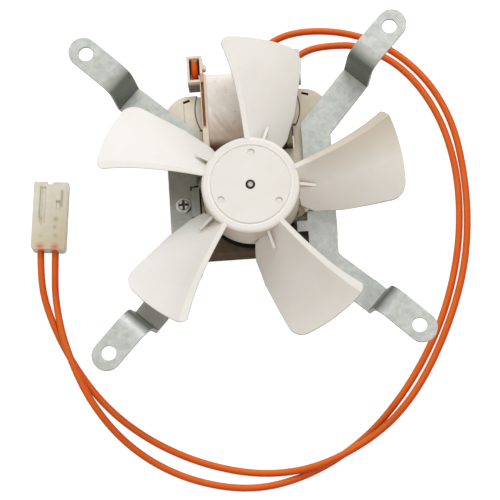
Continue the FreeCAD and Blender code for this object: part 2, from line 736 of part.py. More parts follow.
def arm_section(sketch):
    """Section of a stepped arm along its diagonal: flat, fold, leaning wall, large bend and tab."""
    sheet_thickness = dim["bracket_sheet"]
    lean = dim["wall_lean"]
    fold = dim["fold_radius"]
    bend = dim["upper_bend"]
    top = dim["tab_top"]
    tab_end = tab_round_centre()
    climb = (top - bend * (1 - sine(lean)) - plate_top) / cosine(lean)
    bend_x = fold + climb * sine(lean) + bend * cosine(lean)
    bend_z = top - bend
    inside = bend - sheet_thickness
    corner = fold + sheet_thickness * (1 - sine(lean)) / cosine(lean)
    root = fold - dim["arm_half_width"]
    outline(sketch, [
        (root, bridge_top), (corner, bridge_top),
        (bend_x - inside * cosine(lean), bend_z + inside * sine(lean)),
        (bend_x, top - sheet_thickness), (tab_end, top - sheet_thickness), (tab_end, top),
        (bend_x, top), (bend_x - bend * cosine(lean), bend_z + bend * sine(lean)),
        (fold, plate_top), (root, plate_top),
    ], {2: (inside, -1), 6: (bend, 1)})


# Screws and nuts

def screw(name, side):
    """Pan head screw with a cross recess, through the bracket, both bridges and the stack."""
    x = side * dim["screw_x"]
    y = dim["screw_y"]
    radius = dim["screw_head_radius"]
    height = dim["screw_head_height"]
    shank = cylinder(name + "_shank", dim["screw_radius"], plate_top - dim["screw_end"],
                     x, y, dim["screw_end"])
    dome = (radius * radius + height * height) / (2 * height)
    ball = doc.addObject("Part::Sphere", name + "_ball")
    bind(ball, Radius=dome)
    place(ball, x, y, plate_top + height - dome)
    rim = cylinder(name + "_rim", radius - dim["head_trim"], height * 1.1, x, y, plate_top)
    head = doc.addObject("Part::Common", name + "_head")
    head.Base = rim
    head.Tool = ball
    whole = fuse(name + "_whole", shank, head)
    length = dim["recess_length"] / 2
    width = dim["recess_width"] / 2
    top = plate_top + height
    floor = top - dim["recess_depth"]
    across = block(name + "_slot_a", (x - length, y - width, floor),
                   (x + length, y + width, top * 1.1))
    along = block(name + "_slot_b", (x - width, y - length, floor),
                  (x + width, y + length, top * 1.1))
    return piece(cut(name, whole, across, along), name)


def nut(name, side):
    prism = doc.addObject("Part::Prism", name + "_hexagon")
    prism.Polygon = 6
    bind(prism, Circumradius=dim["nut_across_corners"] / 2, Height=dim["nut_height"])
    top = stack_back - dim["bridge_sheet"]
    prism.Placement.Rotation = FreeCAD.Rotation(Vector(0, 0, 1), 30)
    place(prism, side * dim["screw_x"], dim["screw_y"], top - dim["nut_height"])
    bore = cylinder(name + "_bore", dim["screw_radius"], dim["nut_height"] * 2,
                    side * dim["screw_x"], dim["screw_y"], top - dim["nut_height"] * 1.5)
    return piece(cut(name, prism, bore), name)


# Bobbin and coil

def rounded_side(sketch, low, high, bottom, top, radius):
    """Rounded rectangle seen along the bar: y between low and high, height between bottom and top."""
    outline(sketch, [
        (low + radius, bottom), (high - radius, bottom), (high, bottom + radius), (high, top - radius),
        (high - radius, top), (low + radius, top), (low, top - radius), (low, bottom + radius),
    ], {1: (radius, 1), 3: (radius, 1), 5: (radius, 1), 7: (radius, 1)})


def rectangle(sketch, low_x, high_x, low_y, high_y):
    outline(sketch, [(low_x, low_y), (high_x, low_y), (high_x, high_y), (low_x, high_y)])


def bobbin():
    """Nylon bobbin: square tube, two flanges with a wire channel, two terminal boxes and two posts."""
    body = new_body("bobbin")
    outer = dim["flange_outer"]
    thick = dim["flange_thickness"]
    wall = dim["bobbin_wall"] + dim["bobbin_clearance"]
    low = dim["bar_bottom"]
    high = dim["bar_top"]
    tube = body_sketch(body, "bobbin_tube", "YZ_Plane", -outer)
    rectangle(tube, low - wall, high + wall, stack_back - wall, stack_front + wall)
    pad(body, tube, outer * 2)
    for side, word in ((1, "right"), (-1, "left")):
        start = outer - thick if side > 0 else -outer
        flange = body_sketch(body, f"flange_{word}", "YZ_Plane", start)
        rectangle(flange, dim["flange_bottom"], dim["flange_top"], 0, coil_front)
        pad(body, flange, thick)
        back = coil_front + dim["box_proud"] - dim["box_depth"]
        box = body_sketch(body, f"box_{word}", offset=back)
        rectangle(box, side * dim["box_left"], side * dim["box_right"], box_bottom, box_top)
        pad(body, box, dim["box_depth"])
        post = body_sketch(body, f"post_{word}", offset=coil_front - dim["post_height"])
        circle(post, dim["post_radius"], side * dim["post_x"], dim["flange_top"] + dim["post_rise"])
        pad(body, post, dim["post_height"])
        hollow = body_sketch(body, f"box_hollow_{word}", offset=hub_front)
        skin = dim["box_wall"]
        rectangle(hollow, side * (dim["box_left"] + skin), side * (dim["box_right"] - skin),
                  box_bottom + skin, box_top - skin)
        pocket(body, hollow)
        channel = body_sketch(body, f"wire_channel_{word}", offset=coil_front)
        half = dim["wire_channel_width"] / 2
        rectangle(channel, side * (channel_middle - half), side * (channel_middle + half),
                  dim["wire_channel_start"], box_bottom)
        pocket(body, channel, dim["wire_channel_depth"])
    play = dim["bobbin_clearance"]
    hole = body_sketch(body, "bobbin_hole", "YZ_Plane", outer)
    rectangle(hole, low - play, high + play, stack_back - play, stack_front + play)
    pocket(body, hole)
    return piece(body, "bobbin")


def coil(name, inset, inner_inset):
    """Layer of the coil between the flanges; inset is its outside inside the flange's edge."""
    body = new_body(name)
    half = dim["flange_outer"] - dim["flange_thickness"]
    plan = body_sketch(body, name + "_outside", "YZ_Plane", -half)
    low = dim["flange_bottom"]
    high = dim["flange_top"] - dim["coil_slack"]
    radius = dim["tape_radius"]
    rounded_side(plan, low + inset, high - inset, inset, coil_front - inset, radius)
    pad(body, plan, half * 2)
    inside = body_sketch(body, name + "_inside", "YZ_Plane", half)
    if inner_inset is None:
        wall = dim["bobbin_wall"] + dim["bobbin_clearance"]
        rectangle(inside, dim["bar_bottom"] - wall, dim["bar_top"] + wall, stack_back - wall,
                  stack_front + wall)
    else:
        rounded_side(inside, low + inner_inset, high - inner_inset, inner_inset,
                     coil_front - inner_inset, radius)
    pocket(body, inside)
    return piece(body, name)


def coil_end_wire(name, side):
    """Enamelled wire that runs up the channel of a flange."""
    body = new_body(name)
    radius = dim["coil_wire_radius"]
    section = body_sketch(body, name + "_section", "XZ_Plane", -box_bottom)
    circle(section, radius, side * channel_middle,
           coil_front - dim["wire_channel_depth"] + radius)
    pad(body, section, box_bottom - dim["wire_channel_start"])
    return piece(body, name)


def solder_terminal(name, side):
    """Tinned terminal at the top of a terminal box, where the lead ends."""
    body = new_body(name)
    half = dim["terminal_size"] / 2
    middle = side * box_middle
    plan = body_sketch(body, name + "_plan", offset=lead_start_z - half)
    rectangle(plan, middle - half, middle + half, lead_start_y, box_top - dim["box_wall"])
    pad(body, plan, half * 2)
    return piece(body, name)


# Rotor and impeller

def rotor_core():
    """Rotor laminations with the holes of the cage bars."""
    body = new_body("rotor_core")
    plan = body_sketch(body, "rotor_plan", offset=stack_back)
    circle(plan, dim["rotor_radius"])
    circle(plan, dim["shaft_radius"])
    pad(body, plan, dim["stack_depth"])
    bar = body_sketch(body, "rotor_bar_hole", offset=stack_front)
    circle(bar, dim["rotor_bar_radius"], dim["rotor_radius"] - dim["rotor_bar_inset"])
    hole = pocket(body, bar)
    ring_of(body, hole, dim["rotor_bar_count"])
    return piece(body, "rotor_core")


def ring_of(body, feature, count):
    """Repeat a feature evenly round the shaft."""
    pattern = body.newObject("PartDesign::PolarPattern", feature.Name + "_ring")
    pattern.Originals = [feature]
    pattern.Axis = (feature.Profile[0], ["N_Axis"])
    pattern.Angle = 360
    pattern.setExpression("Occurrences", count.text)
    body.Tip = pattern
    doc.recompute()
    return pattern


def rotor_cage():
    """Cast cage: a ring on each face of the rotor, joined by the bars."""
    outer = dim["rotor_radius"] - dim["air_gap"]
    inner = outer - dim["end_ring_width"]
    height = dim["end_ring_height"]
    body = new_body("rotor_cage")
    rings = ((stack_back - height, "rear"), (stack_front, "front"))
    for level, word in rings:
        ring = body_sketch(body, f"cage_{word}_ring", offset=level)
        circle(ring, outer)
        circle(ring, inner)
        pad(body, ring, height)
        if word == "rear":
            bar = body_sketch(body, "cage_bar", offset=stack_back)
            circle(bar, dim["rotor_bar_radius"], dim["rotor_radius"] - dim["rotor_bar_inset"])
            ring_of(body, pad(body, bar, dim["stack_depth"]), dim["rotor_bar_count"])
    return piece(body, "rotor_cage")


def shaft():
    start = dim["rear_wall"] + dim["shaft_end_gap"]
    end = hub_front + dim["shaft_proud"]
    radius = dim["shaft_radius"]
    bevel = dim["shaft_chamfer"]
    return turned_piece("shaft", [
        (0, start), (radius - bevel, start), (radius, start + bevel), (radius, end - bevel),
        (radius - bevel, end), (0, end),
    ])


def thrust_washer(name, bottom):
    inner = dim["shaft_radius"] + dim["bearing_clearance"]
    outer = dim["washer_radius"]
    top = bottom + dim["washer_thickness"]
    return turned_piece(name, [(inner, bottom), (outer, bottom), (outer, top), (inner, top)])


def spacer(name, bottom, top):
    """Sleeve pressed on the shaft between the rotor and a thrust washer."""
    inner = dim["shaft_radius"]
    outer = dim["washer_radius"] - dim["clip_thickness"] * 2
    return turned_piece(name, [(inner, bottom), (outer, bottom), (outer, top), (inner, top)])


def impeller_hub():
    """Hub cup with a rounded rim, a boss for the shaft and ribs between the two."""
    body = new_body("impeller_hub")
    outer = dim["hub_radius"]
    rim = dim["hub_rim_radius"]
    wall = outer - dim["hub_wall"]
    ceiling = hub_front - dim["hub_face"]
    boss = dim["boss_radius"]
    boss_end = ceiling - dim["boss_length"] + dim["hub_face"]
    section = body_sketch(body, "hub_section", "XZ_Plane")
    outline(section, [
        (dim["shaft_radius"], boss_end), (boss, boss_end), (boss, ceiling), (wall, ceiling),
        (wall, hub_back), (outer, hub_back), (outer, hub_front - rim), (outer - rim, hub_front),
        (dim["shaft_radius"], hub_front),
    ], {6: (rim, 1)})
    revolved(body, section)
    rib = body_sketch(body, "hub_rib", offset=ceiling - dim["rib_height"])
    half = dim["rib_thickness"] / 2
    rectangle(rib, boss - half, wall + half, -half, half)
    ring_of(body, pad(body, rib, dim["rib_height"]), dim["blade_count"])
    ring = body_sketch(body, "hub_groove", offset=hub_front)
    circle(ring, dim["groove_radius"])
    circle(ring, dim["groove_radius"] - dim["groove_width"])
    pocket(body, ring, dim["groove_depth"])
    marks = body_sketch(body, "hub_marks", offset=hub_front)
    for direction in GATE_MARK_ANGLES:
        angle = size(direction)
        circle(marks, dim["dimple_radius"], dim["dimple_circle"] * cosine(angle),
               dim["dimple_circle"] * sine(angle))
    pocket(body, marks, dim["dimple_depth"])
    return body


def chord_line(x, offset, pitch, half_length, lift):
    """Ends of the blade's chord at a distance out from the shaft."""
    angle = math.radians(pitch)
    middle = Vector(x, offset, hub_front.value - dim["blade_depth"].value)
    along = Vector(0, math.cos(angle), math.sin(angle)) * half_length
    normal = Vector(0, -math.sin(angle), math.cos(angle)) * lift
    return middle - along + normal, middle + along + normal


def twisted_plate():
    """Solid between two ruled faces: the blade before its outline is cut."""
    wall = dim["hub_wall"].value
    start = dim["hub_radius"].value - wall * 0.7
    end = dim["tip_radius"].value + wall
    half = dim["blade_thickness"].value / 2
    reach = (dim["lead_edge_tip"] - dim["trail_edge_tip"]).value
    wires = []
    for x, offset, pitch in (
        (start, dim["root_offset"].value, dim["root_pitch"].value),
        (end, dim["tip_offset"].value, dim["tip_pitch"].value),
    ):
        low = chord_line(x, offset, pitch, reach * 0.75, -half)
        high = chord_line(x, offset, pitch, reach * 0.75, half)
        wires.append(Part.makePolygon([low[0], low[1], high[1], high[0], low[0]]))
    return Part.makeLoft(wires, True, True)


def blade_outline():
    """Plan of a blade: straight leading edge, bowed trailing edge and a round tip."""
    tip = dim["tip_radius"].value
    hub = dim["hub_radius"].value - dim["hub_wall"].value * 0.5
    shoulder_x = dim["shoulder_radius"].value
    lead_root = Vector(hub, dim["lead_edge_root"].value, 0)
    lead_tip = Vector(math.sqrt(tip ** 2 - dim["lead_edge_tip"].value ** 2),
                      dim["lead_edge_tip"].value, 0)
    trail_tip = Vector(math.sqrt(tip ** 2 - dim["trail_edge_tip"].value ** 2),
                       dim["trail_edge_tip"].value, 0)
    shoulder = Vector(shoulder_x, dim["trail_edge_shoulder"].value, 0)
    trail_root = Vector(hub - dim["hub_wall"].value * 0.5, dim["trail_edge_root"].value, 0)
    bow = (trail_root + shoulder) * 0.5 + Vector(dim["bow_out"].value, -dim["bow_side"].value, 0)
    edges = [
        Part.LineSegment(lead_root, lead_tip).toShape(),
        Part.Arc(lead_tip, Vector(tip, 0, 0), trail_tip).toShape(),
        Part.LineSegment(trail_tip, shoulder).toShape(),
        Part.Arc(shoulder, bow, trail_root).toShape(),
        Part.LineSegment(trail_root, lead_root).toShape(),
    ]
    face = Part.Face(Part.Wire(edges))
    depth = (dim["hub_depth"] - dim["blade_back"]).value
    prism = face.extrude(Vector(0, 0, depth))
    for radius, corner in ((dim["lead_corner"], lead_tip), (dim["trail_corner"], trail_tip)):
        middle = corner + Vector(0, 0, depth / 2)
        upright = min(prism.Edges, key=lambda edge: edge.BoundBox.Center.distanceToPoint(middle))
        prism = prism.makeFillet(radius.value, [upright])
    prism.translate(Vector(0, 0, hub_front.value - depth))
    return prism


def gusset():
    """Small three-cornered fin on the front of the blade root."""
    hub = dim["hub_radius"].value
    top = hub_front.value - dim["gusset_top"].value
    reach = dim["gusset_reach"].value
    half = dim["gusset_thickness"].value / 2
    base = hub_front.value - dim["blade_depth"].value
    inside = hub - dim["hub_wall"].value * 0.5
    corners = [
        Vector(inside, -half, top), Vector(hub, -half, top), Vector(hub + reach, -half, base),
        Vector(inside, -half, base), Vector(inside, -half, top),
    ]
    fin = Part.Face(Part.makePolygon(corners)).extrude(Vector(0, half * 2, 0))
    return fin.rotated(Vector(0, 0, 0), Vector(0, 0, 1), dim["gusset_turn"].value)


def impeller():
    """Hub with its blades, moulded in one."""
    hub = impeller_hub()
    one = twisted_plate().common(blade_outline()).fuse(gusset())
    blades = []
    count = int(dim["blade_count"].value)
    for number in range(count):
        blade = doc.addObject("Part::Feature", f"blade_{number + 1}")
        direction = dim["first_blade"].value + number * 360 / count
        blade.Shape = one.rotated(Vector(0, 0, 0), Vector(0, 0, 1), direction)
        blades.append(blade)
    whole = fuse("impeller", hub, *blades)
    whole.Refine = False
    return piece(whole, "impeller")


# Leads and connector

GATE_MARK_ANGLES = (84.0, 203.0, 325.0)

# Fold of a lead in its box: how far back from its end, and how far down
LEAD_FOLD = [(0, 0), (3.2, 0), (5.4, 2.9)]

# Routes of the leads out of their boxes: the corners of their straight runs, rounded by the bends
LEFT_LEAD = [
    (-15.6, 43.4, 14.0), (-15.6, 45.3, 6.6), (-12.8, 46.4, 2.4), (-6.5, 46.8, 1.2), (-0.5, 51.5, 1.2), (5.5, 58.5, 1.2),
    (17.2, 63.0, 1.2),
    (34.8, 62.0, 1.2), (50.6, 55.3, 1.2), (63.5, 42.3, 1.2), (70.8, 26.3, 1.2),
    (73.1, 8.3, 1.2), (72.6, -10.8, 1.2), (68.8, -29.4, 1.2), (60.3, -49.3, 1.2),
    (49.0, -67.3, 1.2), (35.4, -80.4, 4.2), (14.5, -89.8, 4.2), (-5.0, -90.4, 1.2),
    (-24.8, -84.8, 1.2), (-42.3, -75.0, 1.2), (-56.4, -61.9, 1.2), (-66.9, -44.5, 1.2),
    (-73.1, -27.6, 1.2), (-74.5, -15.0, 3.2),
]
RIGHT_LEAD = [
    (17.5, 42.7, 14.0), (17.7, 44.8, 7.0), (19.0, 50.4, 2.4), (23.4, 54.9, 1.2), (30.0, 57.2, 1.2), (41.8, 56.6, 1.2),
    (55.6, 47.1, 1.2), (65.6, 31.3, 1.2), (70.4, 12.2, 1.2), (70.2, -8.2, 1.2),
    (66.3, -27.3, 1.2), (58.7, -46.5, 1.2), (46.4, -65.4, 1.2), (31.2, -81.0, 1.2),
    (12.0, -91.6, 1.2), (-8.7, -95.4, 1.2), (-30.7, -89.6, 1.2), (-48.4, -77.6, 1.2),
    (-60.7, -61.0, 4.2), (-67.7, -41.0, 4.2), (-70.0, -25.0, 1.2), (-69.35, -14.6, 3.2),
]


def connector_point(across, along, height):
    """Point of the leaning connector, measured from the middle of its underside."""
    turn = -math.radians(dim["connector_turn"].value)
    return Vector(
        dim["connector_x"].value + across * math.cos(turn) - along * math.sin(turn),
        dim["connector_y"].value + across * math.sin(turn) + along * math.cos(turn),
        height)


def contact_offset(side):
    return (dim["contact_shift"] + side * dim["contact_pitch"] / 2).value


def lead(name, route, side):
    """Insulated lead: straight runs joined by tangent arcs, from its box into the connector."""
    radius = dim["lead_radius"].value
    end = connector_point(contact_offset(side),
                          dim["lead_entry"].value - dim["connector_length"].value / 2,
                          dim["connector_thickness"].value / 2)
    folded = []
    for back, down in LEAD_FOLD:
        x, y = with_motor(side * box_middle, lead_start_y - back)
        folded.append((x.value, y.value, (lead_start_z - down).value))
    corners = [Vector(*point) for point in folded + route] + [end]
    edges = []
    start = corners[0]
    tightest = 1e9
    for before, corner, after in zip(corners, corners[1:], corners[2:]):
        back = (before - corner).normalize()
        ahead = (after - corner).normalize()
        turn = math.pi - back.getAngle(ahead)
        shorter = min((before - corner).Length, (after - corner).Length)
        tangent = 0.45 * shorter
        bend = tangent / math.tan(turn / 2)
        tightest = min(tightest, bend)
        print(name, "bend radius", round(bend, 1))
        first = corner + back * tangent
        last = corner + ahead * tangent
        inward = (back + ahead).normalize()
        middle = corner + inward * (bend / math.cos(turn / 2) - bend)
        edges.append(Part.LineSegment(start, first).toShape())
        edges.append(Part.Arc(first, middle, last).toShape())
        start = last
    edges.append(Part.LineSegment(start, end).toShape())
    path = Part.Wire(edges)
    facing = (corners[1] - corners[0]).normalize()
    profile = Part.Wire([Part.makeCircle(radius, corners[0], facing)])
    tube = path.makePipeShell([profile], True, True)
    expected = math.pi * radius ** 2 * path.Length
    print(name, "length", round(path.Length, 1), "tightest", round(tightest, 1),
          "volume share", round(tube.Volume / expected, 4))
    obj = doc.addObject("Part::Feature", name)
    obj.Shape = tube
    return piece(obj, name)


def lay_connector(obj):
    """Turn and move a piece that was made round the connector's own middle."""
    obj.Placement.Rotation = FreeCAD.Rotation(Vector(0, 0, -1), dim["connector_turn"].value)
    bind(obj, Placement__Base__x=dim["connector_x"], Placement__Base__y=dim["connector_y"])
    obj.setExpression("Placement.Rotation.Angle", dim["connector_turn"].text)


def connector_housing():
    """Two-way nylon connector with a cavity for each contact, a key notch and a latch window."""
    body = new_body("connector_housing")
    half_width = dim["connector_width"] / 2
    half_length = dim["connector_length"] / 2
    thickness = dim["connector_thickness"]
    corner = dim["connector_corner"]
    plan = body_sketch(body, "connector_plan")
    outline(plan, [
        (corner - half_width, -half_length), (half_width - corner, -half_length),
        (half_width, corner - half_length), (half_width, half_length), (-half_width, half_length),
        (-half_width, corner - half_length),
    ], {1: (corner, 1), 5: (corner, 1)})
    pad(body, plan, thickness)
    cavity = body_sketch(body, "connector_cavities", "XZ_Plane", dim["cavity_depth"] - half_length)
    entry = body_sketch(body, "connector_entries", "XZ_Plane", half_length)
    middle = thickness / 2
    for side in (1, -1):
        x = dim["contact_shift"] + side * dim["contact_pitch"] / 2
        half = dim["cavity_width"] / 2
        rectangle(cavity, x - half, x + half, middle - half, middle + half)
        circle(entry, dim["lead_radius"] + dim["entry_clearance"], x, middle)
    pocket(body, cavity)
    pocket(body, entry)
    notch = body_sketch(body, "connector_notch", offset=thickness)
    half = dim["key_notch_width"] / 2
    rectangle(notch, dim["contact_shift"] - half, dim["contact_shift"] + half,
              half_length - dim["key_notch_depth"], half_length + dim["key_notch_depth"])
    pocket(body, notch)
    window = body_sketch(body, "connector_latch_window", offset=thickness)
    right = half_width - corner * 2
    rectangle(window, right - dim["latch_window_width"], right,
              half_length * 0.2, half_length * 0.2 + dim["latch_window_length"])
    pocket(body, window, dim["latch_window_depth"])
    groove = body_sketch(body, "connector_groove", offset=thickness)
    left = corner * 2 - half_width
    rectangle(groove, left, left + dim["side_groove_width"],
              half_length * 0.85 - dim["side_groove_length"], half_length * 0.85)
    pocket(body, groove, dim["side_groove_depth"])
    lay_connector(body)
    return piece(body, "connector_housing")


def contact(name, side):
    """Crimped contact: a tube with a collar that locks in the cavity."""
    bottom = dim["lead_entry"].value - dim["connector_length"].value / 2
    offset = contact_offset(side)
    height = dim["connector_thickness"].value / 2
    start = connector_point(offset, bottom, height)
    step = connector_point(offset, bottom + 1, height) - start
    tube = Part.makeCylinder(dim["contact_radius"].value, dim["contact_length"].value, start, step)
    collar_start = start + step * (dim["contact_length"].value / 3)
    collar = Part.makeCylinder(dim["collar_radius"].value, dim["collar_length"].value,
                               collar_start, step)
    obj = doc.addObject("Part::Feature", name)
    obj.Shape = tube.fuse(collar).removeSplitter()
    return piece(obj, name)


stator_core()
coil_core_bar()
shading_coil("shading_coil_left", -1)
shading_coil("shading_coil_right", 1)
bearing_bridge("front_bearing_bridge", stack_front, dim["bridge_rise"], False)
bearing_bridge("rear_bearing_bridge", stack_back - dim["bridge_sheet"], -dim["bridge_drop"], True)
front_bearing_bottom = (dim["front_housing_top"] - dim["bridge_sheet"]
                        - dim["front_bearing_length"])
rear_bearing_top = dim["rear_wall"] + dim["rear_bearing_length"]
bearing("front_bearing", front_bearing_bottom, dim["front_bearing_length"])
bearing("rear_bearing", dim["rear_wall"], dim["rear_bearing_length"])
bearing_clip("front_bearing_clip", front_bearing_bottom - dim["clip_thickness"])
bearing_clip("rear_bearing_clip", rear_bearing_top)
oil_felt("front_oil_felt", front_bearing_bottom,
         front_bearing_bottom + dim["front_bearing_length"] - dim["felt_clearance"])
oil_felt("rear_oil_felt", dim["rear_wall"] + dim["felt_clearance"], rear_bearing_top)
bracket("left_bracket", -1)
bracket("right_bracket", 1)
screw("screw_left", -1)
screw("screw_right", 1)
nut("nut_left", -1)
nut("nut_right", 1)
bobbin()
tape_inset = dim["tape_margin"]
winding_inset = tape_inset + dim["tape_thickness"]
coil("coil_winding", winding_inset, None)
coil("coil_tape", tape_inset, winding_inset)
for side, word in ((1, "right"), (-1, "left")):
    coil_end_wire("coil_end_wire_" + word, side)
    solder_terminal("lead_terminal_" + word, side)
rotor_core()
rotor_cage()
shaft()
rear_washer_bottom = rear_bearing_top + dim["washer_gap"]
rear_washer_top = rear_washer_bottom + dim["washer_thickness"]
front_washer_top = front_bearing_bottom - dim["washer_gap"]
front_washer_bottom = front_washer_top - dim["washer_thickness"]
thrust_washer("rear_thrust_washer", rear_washer_bottom)
thrust_washer("front_thrust_washer", front_washer_bottom)
spacer("rear_spacer", rear_washer_top, stack_back)
spacer("front_spacer", stack_front, front_washer_bottom)
impeller()
connector_housing()
contact("connector_contact_left", -1)
contact("connector_contact_right", 1)
lead("left_lead", LEFT_LEAD, -1)
lead("right_lead", RIGHT_LEAD, 1)

doc.recompute()
for obj in parts:
    if obj.Label in TURNED_WITH_MOTOR:
        turn_with_motor(obj)
doc.recompute()
for obj in doc.Objects:
    if "Invalid" in obj.State or "Error" in obj.State:
        raise RuntimeError(f"{obj.Name} failed: {obj.State}")
for obj in parts:
    if obj.Shape.isNull() or not obj.Shape.isValid():
        raise RuntimeError(f"{obj.Label} has no valid shape")
    if len(obj.Shape.Solids) != 1:
        raise RuntimeError(f"{obj.Label} has {len(obj.Shape.Solids)} solids")

os.makedirs("parts", exist_ok=True)
for obj in parts:
    obj.Shape.exportStep(f"parts/{obj.Label}.step")
    box = obj.Shape.BoundBox
    print(f"{obj.Label}: {obj.Shape.Volume:.1f} mm3, x {box.XMin:.2f} {box.XMax:.2f}, "
          f"y {box.YMin:.2f} {box.YMax:.2f}, z {box.ZMin:.2f} {box.ZMax:.2f}")
print(len(parts), "pieces")
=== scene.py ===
"""Looks of the pellet grill induction fan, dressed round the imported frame."""
import math

import bpy
from mathutils import Matrix, Vector, noise


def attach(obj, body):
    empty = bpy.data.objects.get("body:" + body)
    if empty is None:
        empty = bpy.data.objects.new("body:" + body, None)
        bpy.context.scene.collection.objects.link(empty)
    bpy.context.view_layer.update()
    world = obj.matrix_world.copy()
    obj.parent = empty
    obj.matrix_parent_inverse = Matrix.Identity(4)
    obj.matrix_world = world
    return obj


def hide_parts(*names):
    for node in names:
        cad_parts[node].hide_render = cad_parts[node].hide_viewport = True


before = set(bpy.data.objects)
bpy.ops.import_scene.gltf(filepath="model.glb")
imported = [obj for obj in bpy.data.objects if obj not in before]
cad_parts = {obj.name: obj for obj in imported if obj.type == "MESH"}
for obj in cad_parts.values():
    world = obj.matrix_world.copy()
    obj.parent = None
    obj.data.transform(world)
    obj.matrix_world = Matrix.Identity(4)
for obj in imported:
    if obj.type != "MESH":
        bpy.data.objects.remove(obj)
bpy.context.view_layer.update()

MM = 0.001
MOTOR_TURN = math.radians(1.3)  # the motor sits turned clockwise in its brackets


def srgb(red, green, blue):
    """Linear colour from 0-255 values as a picture shows them."""
    values = []
    for channel in (red, green, blue):
        share = channel / 255
        values.append(share / 12.92 if share <= 0.04045 else ((share + 0.055) / 1.055) ** 2.4)
    return (*values, 1.0)


def point(x, y, z):
    """Point in metres from millimetres."""
    return Vector((x, y, z)) * MM


def motor_point(x, y, z):
    """Point in metres from millimetres in the turned motor's own square."""
    cosine, sine = math.cos(MOTOR_TURN), math.sin(MOTOR_TURN)
    return point(x * cosine + y * sine, y * cosine - x * sine, z)


def collection_link(obj):
    """Puts an object in the scene."""
    bpy.context.scene.collection.objects.link(obj)
    return obj


# Camera: looks down on the impeller, tilted towards -Y
TILT, SIDE, ROLL = (math.radians(a) for a in (12.368, 0.623, -5.095))
DISTANCE = 893.29 * MM
TARGET = point(-2.012, -21.94, 42.7)
LENS = 197.35
SENSOR = 36

towards = Vector((math.sin(SIDE) * math.cos(TILT), -math.sin(TILT) * math.cos(SIDE),
                  math.cos(TILT) * math.cos(SIDE))).normalized()
right = (-towards).cross(Vector((0, 1, 0))).normalized()
up = right.cross(-towards)
camera_x = math.cos(ROLL) * right + math.sin(ROLL) * up
camera_y = math.cos(ROLL) * up - math.sin(ROLL) * right
camera_data = bpy.data.cameras.new("camera")
camera_data.lens = LENS
camera_data.sensor_width = SENSOR
camera_data.clip_end = 20
camera = collection_link(bpy.data.objects.new("camera", camera_data))
axes = Matrix((camera_x, camera_y, towards)).transposed().to_4x4()
camera.matrix_world = Matrix.Translation(TARGET + towards * DISTANCE) @ axes
bpy.context.scene.camera = camera


